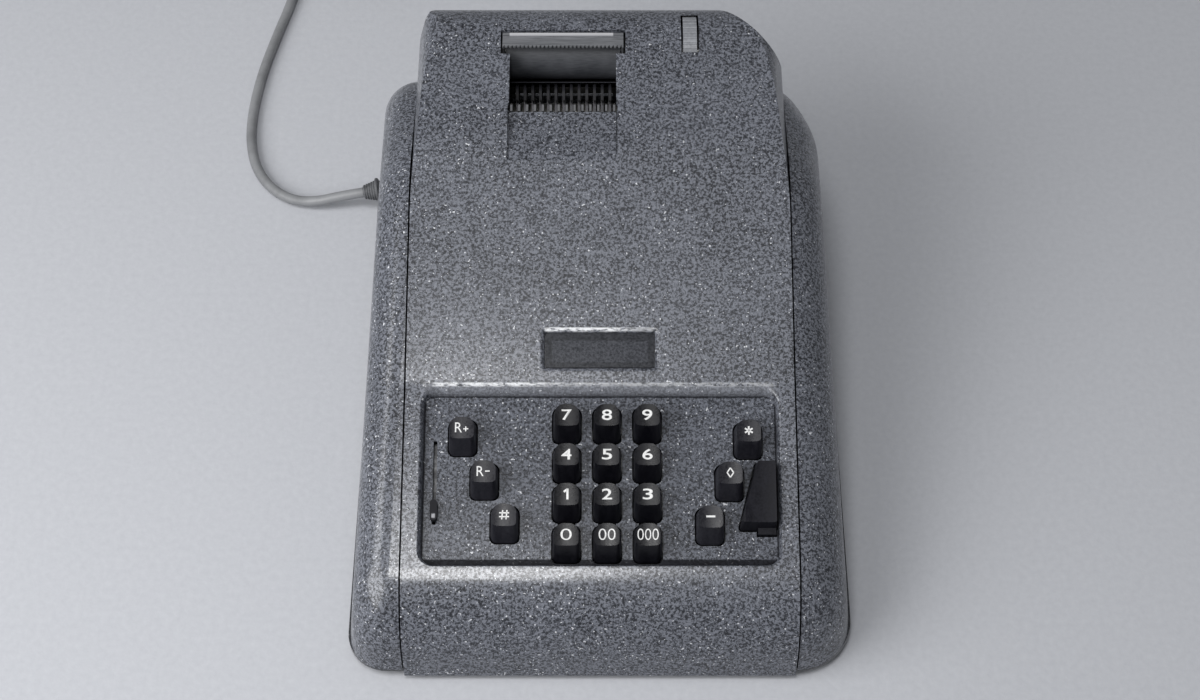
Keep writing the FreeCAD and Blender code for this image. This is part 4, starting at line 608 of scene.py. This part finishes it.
plug_start = Vector(lead_route[-1])
ALONG_X = Vector((1, 0, 0))
grip_profile = [(0.0, 0.0034), (0.0004, 0.0038)]
for ridge in range(RIDGES):
    foot = 0.0012 + 0.0026 * ridge
    size = 0.0039 + 0.00016 * 2.6 * ridge
    grip_profile += [(foot, size), (foot + 0.0012, size + 0.0002), (foot + 0.0014, size - 0.0006),
                     (foot + 0.0022, size - 0.0005)]
grip_profile += [(0.0144, 0.0061), (0.0170, 0.0063)]
plug_grip = turned_piece("plug_grip", plug_start, ALONG_X, grip_profile)

BODY_MIDDLE = 0.0265
BODY_LONG, BODY_WIDE, BODY_THICK = 0.021, 0.030, 0.0186
mesh = bmesh.new()
bmesh.ops.create_cube(mesh, size=1.0)
for v in mesh.verts:
    v.co = plug_start + Vector((BODY_MIDDLE + v.co.x * BODY_LONG, v.co.y * BODY_WIDE, v.co.z * BODY_THICK))
data = bpy.data.meshes.new("plug_body")
mesh.to_mesh(data)
mesh.free()
plug_body = bpy.data.objects.new("plug_body", data)
bpy.context.collection.objects.link(plug_body)
corners = plug_body.modifiers.new("corners", "BEVEL")
corners.width = 0.0042
corners.segments = 6
for face in data.polygons:
    face.use_smooth = True

PIN_START, PIN_SPREAD, PIN_SIDES = 0.036, 0.0095, 24
pin_profile = [(0.0, 0.0020), (0.0165, 0.0020), (0.0176, 0.0018), (0.0184, 0.0013), (0.0189, 0.0006)]
pins = [turned_piece("plug_pin_" + side, plug_start + Vector((PIN_START, shift, 0)), ALONG_X,
                     pin_profile, PIN_SIDES)
        for side, shift in (("near", -PIN_SPREAD), ("far", PIN_SPREAD))]

plug_plastic, place = new_finish("plug_plastic")
handled = place.noise(320, 4.0, 0.65)
lay_on(place, colour=handled.between(0.3, 0.7).blend_colours((0.165, 0.168, 0.175), (0.115, 0.117, 0.122)),
       roughness=handled.between(0.3, 0.7, 0.32, 0.5), normal=place.relief(handled, 0.00004))
for piece in (plug_grip, plug_body):
    piece.data.materials.append(plug_plastic)
for piece in pins:
    piece.data.materials.append(zinc)
for piece in (plug_grip, plug_body, *pins):
    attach(piece, "housing")
    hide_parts("plug")

# Table and light: a pale matt table top under an even sky, with a wide soft lamp at the left
# and a smaller one high up, a little in front of the machine.

TABLE_SIZE, TABLE_LEVEL = 3.0, -0.0002
table_top = bmesh.new()
bmesh.ops.create_grid(table_top, x_segments=1, y_segments=1, size=TABLE_SIZE)
data = bpy.data.meshes.new("table_top")
table_top.to_mesh(data)
table_top.free()
table = bpy.data.objects.new("table_top", data)
table.location = (0, 0, TABLE_LEVEL)
bpy.context.collection.objects.link(table)
table_finish, place = new_finish("table_finish")
fibre = place.noise(300, 4.0, 0.6)
lay_on(place, colour=fibre.blend_colours((0.42, 0.43, 0.46), (0.52, 0.53, 0.56)), roughness=0.8,
       normal=place.relief(fibre, 0.0001))
data.materials.append(table_finish)


def soft_lamp(name, place_at, aim, size, power):
    """Rectangular lamp that shines from place_at towards aim."""
    lamp_data = bpy.data.lights.new(name, "AREA")
    lamp_data.shape = "RECTANGLE"
    lamp_data.size, lamp_data.size_y = size
    lamp_data.energy = power
    lamp = bpy.data.objects.new(name, lamp_data)
    lamp.location = place_at
    lamp.rotation_euler = (Vector(aim) - Vector(place_at)).to_track_quat("-Z", "Y").to_euler()
    bpy.context.collection.objects.link(lamp)


soft_lamp("window_left", (-1.00, -0.55, 0.88), (0, 0, 0.05), (1.20, 1.00), 19)
soft_lamp("lamp_above", (-0.14, -0.42, 1.52), (-0.05, -0.13, 0.05), (0.30, 0.42), 8)

world = bpy.data.worlds.new("even_sky")
bpy.context.scene.world = world
world.use_nodes = True
sky = world.node_tree.nodes["Background"]
sky.inputs["Color"].default_value = (0.95, 0.97, 1.0, 1.0)
sky.inputs["Strength"].default_value = 0.28
bpy.context.scene.view_settings.view_transform = "Standard"

# Camera: over the front edge, as someone who sits at the machine looks down on it.
# It aims a little in front of the machine's middle, from a little over one metre away.

DISTANCE = 1.1
elevation = math.radians(54)
target = Vector((0.0, -0.019102, 0.070))
lens_data = bpy.data.cameras.new("camera")
lens_data.lens = 68.25
lens_data.clip_start = 0.05
lens_data.clip_end = 20
camera = bpy.data.objects.new("camera", lens_data)
camera.location = target + Vector((0, -math.cos(elevation), math.sin(elevation))) * DISTANCE
camera.rotation_euler = (target - camera.location).to_track_quat("-Z", "Y").to_euler()
bpy.context.collection.objects.link(camera)
bpy.context.scene.camera = camera
